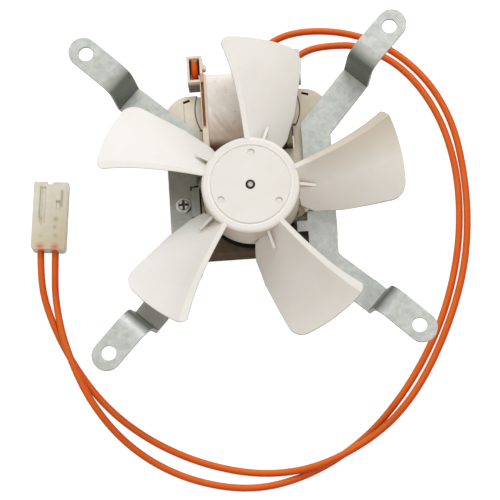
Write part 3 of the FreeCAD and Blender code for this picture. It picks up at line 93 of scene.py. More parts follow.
# Node helpers
class Nodes:
    """Builds a node tree. Lengths and places are in millimetres, scales of noise per metre."""

    def __init__(self, tree):
        self.tree = tree

    def new(self, kind, **inputs):
        """Node of a kind, with the inputs that are named."""
        node = self.tree.nodes.new("ShaderNode" + kind)
        for name, value in inputs.items():
            self.put(node.inputs[name.replace("_", " ")], value)
        return node

    def put(self, socket, value):
        """Links another node's output to a socket, or sets the socket's value."""
        if isinstance(value, bpy.types.NodeSocket):
            self.tree.links.new(value, socket)
        else:
            socket.default_value = value

    def mix(self, factor, first, second):
        """Colour between two."""
        node = self.new("Mix")
        node.data_type = "RGBA"
        for number, value in ((0, factor), (6, first), (7, second)):
            self.put(node.inputs[number], value)
        return node.outputs[2]

    def math(self, operation, *values):
        node = self.new("Math")
        node.operation = operation
        for socket, value in zip(node.inputs, values):
            self.put(socket, value)
        return node.outputs[0]

    def product(self, *values):
        """Product of any number of values."""
        result = values[0]
        for value in values[1:]:
            result = self.math("MULTIPLY", result, value)
        return result

    def largest(self, *values):
        """Largest of any number of values."""
        result = values[0]
        for value in values[1:]:
            result = self.math("MAXIMUM", result, value)
        return result

    def tint(self, colour, other, *shares):
        """Another colour laid over one, as strongly as the product of its shares."""
        return self.mix(self.product(*shares), colour, other)

    def clouded(self, cloud, first, second):
        """Soft change between two colours, led by a noise."""
        return self.mix(self.ramp(cloud, 0.35, 0.7), first, second)

    def place(self):
        """Position in the row frame."""
        return self.new("TexCoord").outputs["Object"]

    def normal(self):
        """Direction that the surface faces, as three values."""
        return self.split(self.new("NewGeometry").outputs["Normal"])

    def split(self, vector):
        return self.new("SeparateXYZ", Vector=vector).outputs

    def scaled(self, vector, scale):
        return self.new("Mapping", Vector=vector, Scale=scale).outputs[0]

    def noise(self, vector, scale, detail=4, roughness=0.6):
        return self.new("TexNoise", Vector=vector, Scale=scale, Detail=detail,
                        Roughness=roughness).outputs[0]

    def ramp(self, value, low, high, to_low=0.0, to_high=1.0):
        """Straight change between two input values, held outside them."""
        node = self.new("MapRange")
        node.clamp = True
        for socket, number in zip(node.inputs, (value, low, high, to_low, to_high)):
            self.put(socket, number)
        return node.outputs[0]

    def span(self, value, low, high, to_low=0.0, to_high=1.0):
        """Ramp over a position, between two places in millimetres."""
        return self.ramp(value, low * MM, high * MM, to_low, to_high)

    def steep(self, low=0.6, high=0.85):
        """1 on walls and cut edges, 0 on faces that look up or down."""
        return self.ramp(self.math("ABSOLUTE", self.normal()[2]), low, high, 1.0, 0.0)

    def patch(self, across, along, middle, half, soft):
        """1 inside a rectangle, fading over a soft edge."""
        shares = []
        for value, centre, reach in zip((across, along), middle, half):
            away = self.math("ABSOLUTE", self.math("SUBTRACT", value, centre * MM))
            shares.append(self.span(away, reach - soft, reach + soft, 1.0, 0.0))
        return self.product(*shares)

    def ring(self, across, along, middle, radius, half, soft):
        """1 on a circle, over half its line's width to each side. A radius of 0 gives a disc."""
        sideways = self.math("SUBTRACT", across, middle[0] * MM)
        forward = self.math("SUBTRACT", along, middle[1] * MM)
        away = self.math("SQRT", self.math("ADD", self.product(sideways, sideways),
                                           self.product(forward, forward)))
        away = self.math("ABSOLUTE", self.math("SUBTRACT", away, radius * MM))
        return self.span(away, half - soft, half + soft, 1.0, 0.0)

    def motor_across(self, across, along):
        """Distance from the turned motor's middle line."""
        return self.math("SUBTRACT", across, self.product(along, math.tan(MOTOR_TURN)))

    def relief(self, surface, height, depth, strength=0.5, edge=None):
        """Bump of a depth, with edges softened by a radius where one is given."""
        bump = self.new("Bump", Strength=strength, Distance=depth * MM, Height=height)
        if edge is not None:
            rounded = self.new("Bevel", Radius=edge * MM)
            rounded.samples = 6
            self.put(bump.inputs["Normal"], rounded.outputs[0])
        self.put(surface.inputs["Normal"], bump.outputs[0])

    def grain(self, surface, where, scale, depth, edge=None):
        """Fine even roughness of a surface."""
        self.relief(surface, self.noise(where, scale, 3, 0.6), depth, edge=edge)


def new_material(name, **shader):
    """Material with its node builder and its main shader, whose named inputs are set."""
    material = bpy.data.materials.new(name)
    material.use_nodes = True
    surface = material.node_tree.nodes["Principled BSDF"]
    for key, value in shader.items():
        surface.inputs[key.replace("_", " ")].default_value = value
    return material, Nodes(material.node_tree), surface


def top_of(name):
    """Height of a node's highest point, in millimetres."""
    return max(vertex.co.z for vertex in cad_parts[name].data.vertices) / MM


# Materials
HUB_GROOVE_RADIUS = 13.5


def moulded_plastic():
    """White impeller plastic with faint clouding and a fine moulded grain."""
    material, nodes, surface = new_material(
        "impeller_plastic", Specular_IOR_Level=0.3, Subsurface_Weight=0.08,
        Subsurface_Scale=2 * MM)
    where = nodes.place()
    across, along, _ = nodes.split(where)
    cloud = nodes.noise(where, 60)
    colour = nodes.clouded(cloud, srgb(241, 239, 235), srgb(236, 233, 227))
    specks = nodes.ramp(nodes.noise(where, 520, 5, 0.7), 0.62, 0.8)
    colour = nodes.tint(colour, srgb(214, 207, 194), specks, 0.3)
    # painted shade: walls and steep faces darker and warmer
    colour = nodes.tint(colour, srgb(206, 196, 181), nodes.steep(0.3, 0.55))
    # painted shade, warm, on the right blade up to the foot of the top blade; painted light
    # whitening the far left
    slanted = nodes.math("SUBTRACT", along, nodes.product(across, 0.25))
    colour = nodes.tint(colour, srgb(210, 200, 182), nodes.span(across, 16.5, 21),
                        nodes.span(slanted, -6, 6, 0.0, 0.95), nodes.span(along, 28, 32, 1.0, 0.0))
    colour = nodes.tint(colour, srgb(254, 253, 251), nodes.span(across, -32, -14, 0.4, 0.0))
    # painted light in the hub's groove, brightening it against its shade
    groove = nodes.ring(across, along, (0, 0), HUB_GROOVE_RADIUS, 0.35, 0.25)
    colour = nodes.tint(colour, srgb(255, 254, 250), groove)
    nodes.put(surface.inputs["Base Color"], colour)
    nodes.put(surface.inputs["Roughness"], nodes.ramp(cloud, 0.3, 0.8, 0.42, 0.54))
    nodes.grain(surface, where, 2500, 0.04, 0.35)
    return material


def zinc_mottle(nodes, where):
    return nodes.noise(where, 420, 5, 0.7)


def sheet_colour(nodes, where, wall_share):
    """Mottled crystals of a zinc coating, with painted shade on its walls and cut edges."""
    cells = nodes.new("TexVoronoi", Scale=620, Vector=where)
    crystal = nodes.new("SeparateColor", Color=cells.outputs["Color"]).outputs[0]
    tone = nodes.math("ADD", nodes.product(crystal, 0.25), zinc_mottle(nodes, where))
    colour = nodes.mix(nodes.ramp(tone, 0.4, 0.85), srgb(188, 193, 189), srgb(212, 216, 212))
    stain = nodes.ramp(nodes.noise(where, 75), 0.5, 0.75)
    colour = nodes.tint(colour, srgb(160, 163, 154), stain, 0.3)
    across, along, _ = nodes.split(where)
    # the plate beside the left screw is in shade towards its upper end
    colour = nodes.tint(colour, srgb(96, 99, 86), nodes.span(across, -15, -14.5, 0.62, 0.0),
                        nodes.span(across, -34, -32.5), nodes.span(along, -11, 4),
                        nodes.span(along, 18, 20, 1.0, 0.0))
    # and so is the lower left arm under the blade
    arm = nodes.patch(across, along, (-36, -37), (5, 6), 2.5)
    colour = nodes.tint(colour, srgb(150, 152, 142), arm, 0.6)
    # painted shadow in the gap between the left plate and the bridge, shaped like an L
    gap = nodes.largest(nodes.patch(across, along, (-18.4, 5.65), (1.8, 0.36), 0.12),
                        nodes.patch(across, along, (-20.1, 5.1), (0.3, 0.75), 0.12))
    colour = nodes.tint(colour, srgb(8, 8, 7), gap)
    # painted shade on the walls and cut edges, as strong as wall_share
    return nodes.tint(colour, srgb(98, 105, 98), nodes.steep(0.6, 0.97), wall_share)


def galvanised():
    """Galvanised sheet: mottled crystals, fine scratches, painted shade on the steep walls."""
    material, nodes, surface = new_material("galvanised_sheet", Metallic=0.3)
    where = nodes.place()
    nodes.put(surface.inputs["Base Color"], sheet_colour(nodes, where, 0.9))
    nodes.put(surface.inputs["Roughness"],
              nodes.ramp(zinc_mottle(nodes, where), 0.3, 0.75, 0.36, 0.52))
    nodes.relief(surface, nodes.noise(where, 1500, 4, 0.7), 0.06, edge=0.2)
    return material


def pressed_zinc():
    """Bearing bridge: rough and brownish in the middle, plated ends, painted shade in a groove
    between them.
    """
    material, nodes, surface = new_material("pressed_zinc", Metallic=0.3, Roughness=0.5)
    where = nodes.place()
    across, along, _ = nodes.split(where)
    lumps = nodes.noise(where, 520, 4, 0.65)
    rough = nodes.clouded(lumps, srgb(96, 86, 68), srgb(188, 180, 162))
    middle = nodes.span(nodes.math("ABSOLUTE", across), 17.2, 17.6, 1.0, 0.0)
    colour = nodes.mix(middle, sheet_colour(nodes, where, 0.2), rough)
    # painted shade, near black, in the groove between the middle and each end
    square = nodes.math("ABSOLUTE", nodes.motor_across(across, along))
    groove = nodes.patch(square, along, (17.25, 0), (0.3, 4.7), 0.08)
    nodes.put(surface.inputs["Base Color"], nodes.tint(colour, srgb(16, 14, 11), groove))
    height = nodes.product(lumps, nodes.math("ADD", nodes.product(middle, 0.85), 0.15))
    nodes.relief(surface, height, 0.6, 0.6, edge=0.2)
    return material


SHEET_PITCH = 0.5  # thickness of one lamination


def layered(nodes, surface, where, face, side_light, side_dark):
    """Stack of sheets: a colour on its faces, thin layers on its sides. Gives the sides' mask."""
    layer = nodes.math("FRACT", nodes.math("DIVIDE", nodes.split(where)[2], SHEET_PITCH * MM))
    line = nodes.ramp(nodes.math("ABSOLUTE", nodes.math("SUBTRACT", layer, 0.5)), 0.3, 0.45)
    wear = nodes.noise(nodes.scaled(where, (1, 1, 14)), 120)
    side = nodes.mix(nodes.ramp(wear, 0.3, 0.7), side_dark, side_light)
    side = nodes.tint(side, srgb(24, 21, 16), line, 0.6)
    steep = nodes.steep()
    nodes.put(surface.inputs["Base Color"], nodes.mix(steep, face, side))
    height = nodes.math("SUBTRACT", nodes.product(nodes.noise(where, 900, 3, 0.6), 0.4),
                        nodes.product(line, steep))
    nodes.relief(surface, height, 0.08, 0.7, edge=0.15)
    return steep


# Joints of the coil's bar in the two lobes:
# side, middle and radius of the arc, where it starts, and the hook at its foot
BAR_JOINTS = (
    (-1, (-1.5, 32.3), 15.1, 25.6, (-15.1, 25.7)),
    (1, (6.58, 31.33), 12.17, 24.2, (16.2, 24.9)),
)


def stack_sheets(name, node):
    """Motor stack: varnished front faces, with painted shade on the right half, on the low faces
    and in the slots.
    """
    material, nodes, surface = new_material(name, Roughness=0.5)
    where = nodes.place()
    across, along, height = nodes.split(where)
    cloud = nodes.noise(where, 160)
    # painted shade: the right of the front faces is darker than the left
    face = nodes.mix(nodes.span(across, -14, 14),
                     nodes.clouded(cloud, srgb(240, 232, 215), srgb(226, 218, 201)),
                     nodes.clouded(cloud, srgb(226, 216, 197), srgb(210, 201, 181)))
    # brown below the hub, and a painted shadow, near black, round the rotor under the hub
    low_end = nodes.clouded(nodes.noise(where, 320, 5, 0.7), srgb(104, 90, 64), srgb(64, 54, 36))
    face = nodes.tint(face, low_end, nodes.span(along, -9.5, -8, 1.0, 0.0))
    face = nodes.tint(face, srgb(10, 9, 7), nodes.ring(across, along, (0, -0.6), 0, 15.9, 0.12),
                      nodes.span(along, -9, -8, 1.0, 0.0))
    crease = nodes.patch(across, along, (-20.35, 30.9), (0.16, 4.4), 0.12)
    lines = nodes.product(crease, 0.35)
    for side, middle, radius, start, hook in BAR_JOINTS:
        arc = nodes.product(nodes.ring(across, along, middle, radius, 0.18, 0.08),
                            nodes.span(nodes.product(across, side), 0, 1),
                            nodes.span(along, start, start + 0.3))
        lines = nodes.largest(lines, arc, nodes.patch(across, along, hook, (0.5, 0.35), 0.15))
    face = nodes.tint(face, srgb(22, 19, 15), lines)
    # painted shade on every face below the front face, in the slots and recesses
    top = top_of(node)
    face = nodes.tint(face, srgb(26, 22, 17), nodes.span(height, top - 0.3, top - 0.2, 1.0, 0.0))
    steep = layered(nodes, surface, where, face, srgb(126, 114, 98), srgb(96, 86, 72))
    # the sides don't shine
    level = nodes.math("SUBTRACT", 1, steep)
    nodes.put(surface.inputs["Metallic"], nodes.product(level, 0.1))
    nodes.put(surface.inputs["Specular IOR Level"], nodes.product(level, 0.5))
    return material


def rotor_sheets():
    """Rotor stack: smooth grey faces, thin layers on the sides."""
    material, nodes, surface = new_material("rotor_laminations", Metallic=0.6, Roughness=0.5)
    where = nodes.place()
    face = nodes.clouded(nodes.noise(where, 160), srgb(170, 168, 162), srgb(150, 146, 140))
    layered(nodes, surface, where, face, srgb(150, 146, 138), srgb(110, 106, 98))
    return material


def cream_nylon():
    """Bobbin nylon: cream, a little see-through, with painted shade low down inside the lead
    boxes.
    """
    material, nodes, surface = new_material(
        "cream_nylon", Roughness=0.48, Specular_IOR_Level=0.3, Subsurface_Weight=0.1,
        Subsurface_Scale=1.2 * MM)
    where = nodes.place()
    across, along, height = nodes.split(where)
    colour = nodes.clouded(nodes.noise(where, 260, 4, 0.65), srgb(243, 231, 217),
                           srgb(233, 216, 198))
    dirt = nodes.ramp(nodes.noise(where, 700, 5, 0.7), 0.55, 0.75)
    colour = nodes.tint(colour, srgb(190, 164, 134), dirt, 0.35)
    # varnish in the wire channels of the flanges
    square = nodes.math("ABSOLUTE", nodes.motor_across(across, along))
    stain = nodes.patch(square, along, (14.2, 34.5), (0.75, 9.5), 0.3)
    colour = nodes.tint(colour, srgb(178, 128, 84), stain, 0.55)
    # shade at the foot of the right flange, light on the walls of the right box
    colour = nodes.tint(colour, srgb(104, 92, 68), nodes.span(across, 12.2, 12.8),
                        nodes.span(along, 23.5, 25.5, 0.9, 0.0))
    colour = nodes.tint(colour, srgb(255, 254, 252), nodes.steep(),
                        nodes.span(across, 16.5, 17), nodes.span(along, 38, 39))
    # painted shade, brown, on the low parts, in the lead boxes and their webs, but not the right
    # half of the right box
    colour = nodes.tint(colour, srgb(120, 92, 62), nodes.span(height, 21.5, 23.8, 1.0, 0.0),
                        nodes.span(across, 16.5, 17, 1.0, 0.0), 0.75)
    nodes.put(surface.inputs["Base Color"], colour)
    nodes.grain(surface, where, 1800, 0.05, 0.2)
    return material


FOLD_ACROSS = (0.82, 0.57)  # direction in the plane that crosses the folds of the tape

# Painted shade, tan, in the valleys of the tape's folds:
# place across and along the folds, half size, soft edge, strength
TAPE_FOLD_SHADE = (
    ((8.5, -26.9), (0.25, 4.5), 0.8, 0.8),
    ((9.6, -22.5), (0.2, 2.5), 0.7, 0.7),
    ((13.4, -30.5), (0.2, 4.0), 0.9, 0.35),
)


def coil_tape_material():
    """Paper-backed tape: white, turning tan, partly its own tone and partly painted shade, then
    brown with painted shade where it tucks under the hub.
    """
    material, nodes, surface = new_material("coil_tape", Roughness=0.5, Specular_IOR_Level=0.35)
    where = nodes.place()
    across, along, _ = nodes.split(where)
    cloud = nodes.noise(nodes.scaled(where, (0.5, 1, 1)), 130, 5, 0.65)
    colour = nodes.mix(nodes.ramp(cloud, 0.4, 0.75), srgb(252, 249, 244), srgb(242, 236, 228))
    # painted shade towards the hub: tan, partly the tape's own tone, then brown where it tucks
    # under
    reach = nodes.math("ADD", along, nodes.product(cloud, 6 * MM))
    colour = nodes.tint(colour, srgb(206, 189, 170), nodes.span(reach, 26.5, 33, 0.95, 0.0))
    colour = nodes.tint(colour, srgb(118, 90, 66), nodes.span(reach, 21.5, 24, 0.9, 0.0))
    # painted shade in the valleys of the folds, stronger lower down
    fold_x, fold_y = FOLD_ACROSS
    over = nodes.math("ADD", nodes.product(across, fold_x), nodes.product(along, fold_y))
    down = nodes.math("SUBTRACT", nodes.product(across, fold_y), nodes.product(along, fold_x))
    stretched = nodes.new("CombineXYZ", X=over, Y=nodes.product(down, 0.2)).outputs[0]
    faint = nodes.ramp(nodes.noise(stretched, 270, 2, 0.45), 0.42, 0.72)
    folds = nodes.product(faint, 0.34)
    for middle, half, soft, strength in TAPE_FOLD_SHADE:
        streak = nodes.patch(over, down, middle, half, soft)
        folds = nodes.largest(folds, nodes.product(streak, strength))
    colour = nodes.tint(colour, srgb(168, 142, 118), folds, nodes.span(along, 30, 40, 0.75, 0.25))
    blots = nodes.ramp(nodes.noise(where, 330, 5, 0.7), 0.56, 0.72)
    colour = nodes.tint(colour, srgb(176, 158, 138), blots, 0.4)
    nodes.put(surface.inputs["Base Color"], colour)
    nodes.relief(surface, nodes.noise(where, 700), 0.06, 0.4)
    return material


WIRE_WAVE = 9000  # radians of the turns' wave over a metre


def copper_wire():
    """Enamelled winding wire, with its turns as a fine relief."""
    material, nodes, surface = new_material("enamelled_copper", Metallic=0.2, Roughness=0.45)
    where = nodes.place()
    turn = nodes.math("SINE", nodes.product(nodes.split(where)[1], WIRE_WAVE))
    cloud = nodes.noise(where, 500, 3, 0.6)
    nodes.put(surface.inputs["Base Color"],
              nodes.clouded(cloud, srgb(190, 134, 86), srgb(150, 98, 58)))
    nodes.relief(surface, turn, 0.1)
    return material


def orange_insulation():
    """Lead insulation: deep orange, painted light making it yellower on the side that looks up and
    to the back left, painted shade making it redder on the other.
    """
    material, nodes, surface = new_material(
        "orange_insulation", Roughness=0.48, Specular_IOR_Level=0.22)
    where = nodes.place()
    cloud = nodes.noise(where, 140)
    # painted light and shade, by the way the surface faces
    normal = nodes.normal()
    lean = nodes.math("ADD", nodes.math("SUBTRACT", nodes.product(normal[1], 0.6),
                                        nodes.product(normal[0], 0.5)),
                      nodes.product(normal[2], 0.35))
    colour = nodes.mix(nodes.ramp(lean, -0.3, 0.95), srgb(200, 62, 18), srgb(250, 128, 30))
    colour = nodes.tint(colour, srgb(222, 84, 22), nodes.ramp(cloud, 0.4, 0.7), 0.5)
    nodes.put(surface.inputs["Base Color"], colour)
    nodes.grain(surface, where, 900, 0.04)
    return material


CONNECTOR_MIDDLE = (-69.5, 4.4, 0)
CONNECTOR_TURN = math.radians(-7.15)

# Marks on the connector's face, from its middle: middle, half size, soft edge, strength, colour;
# contacts and lead ends seen through, painted shade in grooves, one painted highlight
CONNECTOR_MARKS = (
    ((-3.6, 4.6), (0.22, 5.6), 0.2, 0.5, (132, 132, 112)),
    ((-2.8, 3.0), (0.2, 6.6), 0.2, 0.35, (150, 150, 128)),
    ((3.9, 6.1), (0.3, 2.9), 0.3, 0.6, (128, 118, 92)),
    ((0.2, 7.2), (1.0, 1.0), 0.6, 0.3, (214, 200, 140)),
    ((2.5, 3.7), (0.5, 1.0), 0.2, 0.8, (255, 250, 228)),
    ((-2.9, -1.0), (0.5, 0.6), 0.5, 0.35, (140, 132, 108)),
    ((2.2, -1.2), (0.6, 0.7), 0.6, 0.45, (124, 108, 80)),
    ((2.0, -4.0), (0.5, 0.5), 0.45, 0.45, (130, 112, 84)),
    ((2.3, -7.0), (0.5, 0.6), 0.5, 0.4, (140, 120, 92)),
    ((-2.8, -7.2), (0.6, 0.4), 0.4, 0.3, (150, 138, 112)),
    ((-2.7, -10.9), (1.1, 1.0), 0.9, 0.85, (226, 120, 70)),
    ((2.4, -10.9), (1.1, 0.9), 0.9, 0.85, (220, 108, 60)),
)


def natural_nylon():
    """Connector nylon in its natural colour: cloudy, with marks where the contacts sit, painted
    shade and a painted highlight, and walls whitened by painted light.
    """
    material, nodes, surface = new_material(
        "natural_nylon", Roughness=0.42, Specular_IOR_Level=0.35, IOR=1.3)
    where = nodes.place()
    local = nodes.new("Mapping", Vector=where)
    local.vector_type = "TEXTURE"
    local.inputs["Location"].default_value = point(*CONNECTOR_MIDDLE)
    local.inputs["Rotation"].default_value = (0, 0, CONNECTOR_TURN)
    across, along, _ = nodes.split(local.outputs[0])
    tan = nodes.span(nodes.math("SUBTRACT", nodes.product(across, 0.9), along), -7, 12)
    colour = nodes.mix(tan, srgb(238, 235, 220), srgb(213, 202, 176))
    cloud = nodes.ramp(nodes.noise(where, 300), 0.4, 0.7)
    colour = nodes.tint(colour, srgb(206, 196, 172), cloud, 0.3)
    for middle, half, soft, strength, tint in CONNECTOR_MARKS:
        mark = nodes.patch(across, along, middle, half, soft)
        colour = nodes.tint(colour, srgb(*tint), mark, strength)
    # painted light: the walls are whitened
    wall = nodes.steep()
    nodes.put(surface.inputs["Base Color"], nodes.tint(colour, srgb(252, 250, 244), wall))
    nodes.put(surface.inputs["Transmission Weight"], nodes.ramp(wall, 0.0, 1.0, 0.08, 0.8))
    nodes.grain(surface, where, 1200, 0.05, 0.3)
    return material


def metal_finish(nodes, surface, where, colour):
    """Colour and fine grain of a metal piece."""
    nodes.put(surface.inputs["Base Color"], colour)
    nodes.grain(surface, where, 2000, 0.04, 0.15)


def plain_metal(name, light, dark, roughness, metallic=0.9):
    """Metal with a soft mottle and a fine grain."""
    material, nodes, surface = new_material(name, Metallic=metallic, Roughness=roughness)
    where = nodes.place()
    metal_finish(nodes, surface, where, nodes.clouded(nodes.noise(where, 300), light, dark))
    return material


def turned_steel(node):
    """Shaft: ground steel, its end bright, with painted shade on the chamfer round it."""
    material, nodes, surface = new_material("ground_steel", Metallic=0.6, Roughness=0.35)
    where = nodes.place()
    across, along, height = nodes.split(where)
    radius = max(vertex.co.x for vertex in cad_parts[node].data.vertices) / MM
    top = top_of(node)
    # painted shade on the chamfer round the shaft's end
    rim = nodes.product(nodes.ring(across, along, (0, 0), radius, 0.75, 0.15),
                        nodes.span(height, top - 1.2, top - 1.0))
    colour = nodes.clouded(nodes.noise(where, 500), srgb(214, 210, 202), srgb(180, 176, 168))
    metal_finish(nodes, surface, where, nodes.tint(colour, srgb(58, 52, 46), rim))
    return material


def screw_steel(node):
    """Plated screw: bright head, with painted shade in its recess and a painted shadow along its
    lower right edge.
    """
    material, nodes, surface = new_material("plated_" + node, Metallic=0.4, Roughness=0.4)
    where = nodes.place()
    across, along, height = nodes.split(where)
    colour = nodes.clouded(nodes.noise(where, 700), srgb(236, 239, 234), srgb(196, 200, 194))
    places = [vertex.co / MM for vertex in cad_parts[node].data.vertices]
    middle = [(min(values) + max(values)) / 2 for values in
              ([place.x for place in places], [place.y for place in places])]
    top = top_of(node)
    # painted shade in the recess and a painted shadow along the lower right of the head
    recess = nodes.product(nodes.ring(across, along, middle, 0, 1.8, 0.12),
                           nodes.span(height, top - 0.5, top - 0.3, 1.0, 0.0))
    side = nodes.math("SUBTRACT", nodes.math("SUBTRACT", across, middle[0] * MM),
                      nodes.math("SUBTRACT", along, middle[1] * MM))
    rim = nodes.span(side, 2.7, 3.3, 0.0, 0.85)
    metal_finish(nodes, surface, where,
                 nodes.tint(colour, srgb(66, 70, 64), nodes.largest(recess, rim)))
    return material


def felt():
    """Oiled felt with a coarse fibre."""
    material, nodes, surface = new_material("oil_felt", Roughness=0.95)
    fibre = nodes.noise(nodes.place(), 1500, 5, 0.7)
    colour = nodes.mix(fibre, srgb(200, 188, 160), srgb(160, 146, 118))
    nodes.put(surface.inputs["Base Color"], colour)
    nodes.relief(surface, fibre, 0.3, 0.6)
    return material


def washer_plastic():
    """Dark plastic of the thrust washers."""
    material, nodes, surface = new_material("washer_plastic", Roughness=0.5)
    cloud = nodes.noise(nodes.place(), 900, 3, 0.6)
    nodes.put(surface.inputs["Base Color"], nodes.mix(cloud, srgb(60, 60, 60), srgb(80, 80, 78)))
    return material


SHEET = galvanised()
ZINC = pressed_zinc()
STACK = stack_sheets("stack_laminations", "stator_core")
BAR = stack_sheets("bar_laminations", "coil_core_bar")
ROTOR = rotor_sheets()
NYLON = cream_nylon()
WIRE = copper_wire()
ORANGE = orange_insulation()
CLEAR_NYLON = natural_nylon()
PLASTIC = moulded_plastic()
STEEL = plain_metal("spring_steel", srgb(190, 190, 188), srgb(160, 160, 158), 0.3)
NUT = plain_metal("plated_nut", srgb(190, 192, 186), srgb(150, 152, 146), 0.4, metallic=0.4)
BRASS = plain_metal("tinned_brass", srgb(206, 198, 170), srgb(178, 164, 124), 0.35)
BRONZE = plain_metal("sintered_bronze", srgb(176, 138, 92), srgb(140, 104, 66), 0.5)
COPPER = plain_metal("shading_copper", srgb(196, 120, 82), srgb(150, 84, 54), 0.35)
ALUMINIUM = plain_metal("cast_aluminium", srgb(190, 190, 190), srgb(160, 160, 160), 0.5)
FELT = felt()
WASHER = washer_plastic()
TAPE = coil_tape_material()

# Each material with the nodes that wear it
WORN = (
    (SHEET, "left_bracket", "right_bracket"),
    (ZINC, "front_bearing_bridge", "rear_bearing_bridge"),
    (BRONZE, "front_bearing", "rear_bearing", "front_spacer", "rear_spacer"),
    (STEEL, "front_bearing_clip", "rear_bearing_clip"),
    (FELT, "front_oil_felt", "rear_oil_felt"),
    (STACK, "stator_core"),
    (BAR, "coil_core_bar"),
    (COPPER, "shading_coil_left", "shading_coil_right"),
    (NYLON, "bobbin"),
    (TAPE, "coil_tape"),
    (WIRE, "coil_winding", "coil_end_wire_left", "coil_end_wire_right"),
    (BRASS, "lead_terminal_left", "lead_terminal_right", "connector_contact_left",
     "connector_contact_right"),
    (screw_steel("screw_left"), "screw_left"),
    (screw_steel("screw_right"), "screw_right"),
    (NUT, "nut_left", "nut_right"),
    (CLEAR_NYLON, "connector_housing"),
    (PLASTIC, "impeller"),
    (turned_steel("shaft"), "shaft"),
    (ROTOR, "rotor_core"),
    (ALUMINIUM, "rotor_cage"),
    (WASHER, "front_thrust_washer", "rear_thrust_washer"),
)
for material, *node_names in WORN:
    for node_name in node_names:
        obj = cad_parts[node_name]
        if not obj.material_slots:
            obj.data.materials.append(material)
        for material_slot in obj.material_slots:
            material_slot.material = material


# Leads: routes in millimetres, along the frame's tubes and a little off them near the coil
LEFT_ROUTE = [
    (-15.4, 48.66, 23.5), (-15.47, 45.46, 23.5), (-15.52, 43.26, 20.6), (-15.6, 43.4, 14.0),
    (-15.6, 45.3, 6.6), (-12.8, 46.4, 2.4), (-6.5, 46.8, 1.2), (-0.3, 49.6, 1.2),
    (6.0, 56.9, 1.2), (17.2, 63.0, 1.2), (34.8, 62.0, 1.2), (50.6, 55.3, 1.2),
    (63.5, 42.3, 1.2), (70.8, 26.3, 1.2), (73.1, 8.3, 1.2), (72.6, -10.8, 1.2),
    (68.8, -29.4, 1.2), (60.3, -49.3, 1.2), (49.0, -67.3, 1.2), (35.4, -80.4, 4.2),
    (14.5, -89.8, 4.2), (-5.0, -90.4, 1.2), (-24.8, -84.8, 1.2), (-42.3, -75.0, 1.2),
    (-56.4, -61.9, 1.2), (-66.9, -44.5, 1.2), (-73.1, -27.6, 1.2), (-74.5, -15.0, 3.2),
    (-73.09, -1.0, 3.2),
]
RIGHT_ROUTE = [
    (17.59, 47.91, 23.5), (17.52, 44.71, 23.5), (17.47, 42.52, 20.6), (17.5, 42.7, 14.0),
    (17.7, 45.6, 7.0), (18.0, 52.4, 2.6), (23.4, 56.0, 1.2), (30.5, 56.8, 1.2),
    (41.8, 56.0, 1.2), (55.6, 47.1, 1.2), (65.6, 31.3, 1.2), (70.4, 12.2, 1.2),
    (70.2, -8.2, 1.2), (66.3, -27.3, 1.2), (58.7, -46.5, 1.2), (46.4, -65.4, 1.2),
    (31.2, -81.0, 1.2), (12.0, -91.6, 1.2), (-8.7, -95.4, 1.2), (-30.7, -89.6, 1.2),
    (-48.4, -77.6, 1.2), (-60.7, -61.0, 4.2), (-67.7, -41.0, 4.2), (-70.0, -25.0, 1.2),
    (-69.35, -14.6, 3.2), (-68.05, -1.63, 3.2),
]
LEAD_RADIUS = 1.2


def lay_lead(name, route, node):
    """Lead as a smooth spline along its route."""
    curve = bpy.data.curves.new(name, "CURVE")
    curve.dimensions = "3D"
    curve.resolution_u = 12
    curve.bevel_depth = LEAD_RADIUS * MM
    curve.bevel_resolution = 6
    curve.use_fill_caps = True
    spline = curve.splines.new("NURBS")
    spline.points.add(len(route) - 1)
    for control, corner in zip(spline.points, route):
        control.co = (*point(*corner), 1)
    spline.order_u = 3
    spline.use_endpoint_u = True
    lead = collection_link(bpy.data.objects.new(name, curve))
    curve.materials.append(ORANGE)
    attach(lead, "motor")
    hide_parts(node)


lay_lead("lead_left", LEFT_ROUTE, "left_lead")
lay_lead("lead_right", RIGHT_ROUTE, "right_lead")


# Tape round the coil, with its folds, in millimetres of the motor's square
TAPE_HALF_WIDTH = 13.0
TAPE_Y = (17.9, 44.3)
TAPE_Z = (0.6, 24.9)
TAPE_CORNER = 4.0
TAPE_CORNER_STEPS = 8
TAPE_THICKNESS = 0.4
TAPE_COLUMNS = 84
TAPE_EDGE = 0.8  # strip at each edge over which the folds fade
FOLD_LIMITS = (-0.33, 0.25)

# Ridges and valleys that show best: height, place across, middle and half length along
FOLDS = (
    (0.26, 11.3, -30.8, 4.5),
    (-0.3, 8.45, -26.9, 6.0),
    (0.2, 6.5, -24.2, 4.0),
    (-0.22, 9.2, -21.6, 3.0),
    (-0.2, 13.6, -31.5, 5.0),
)
FOLD_HALF_WIDTH = 0.95


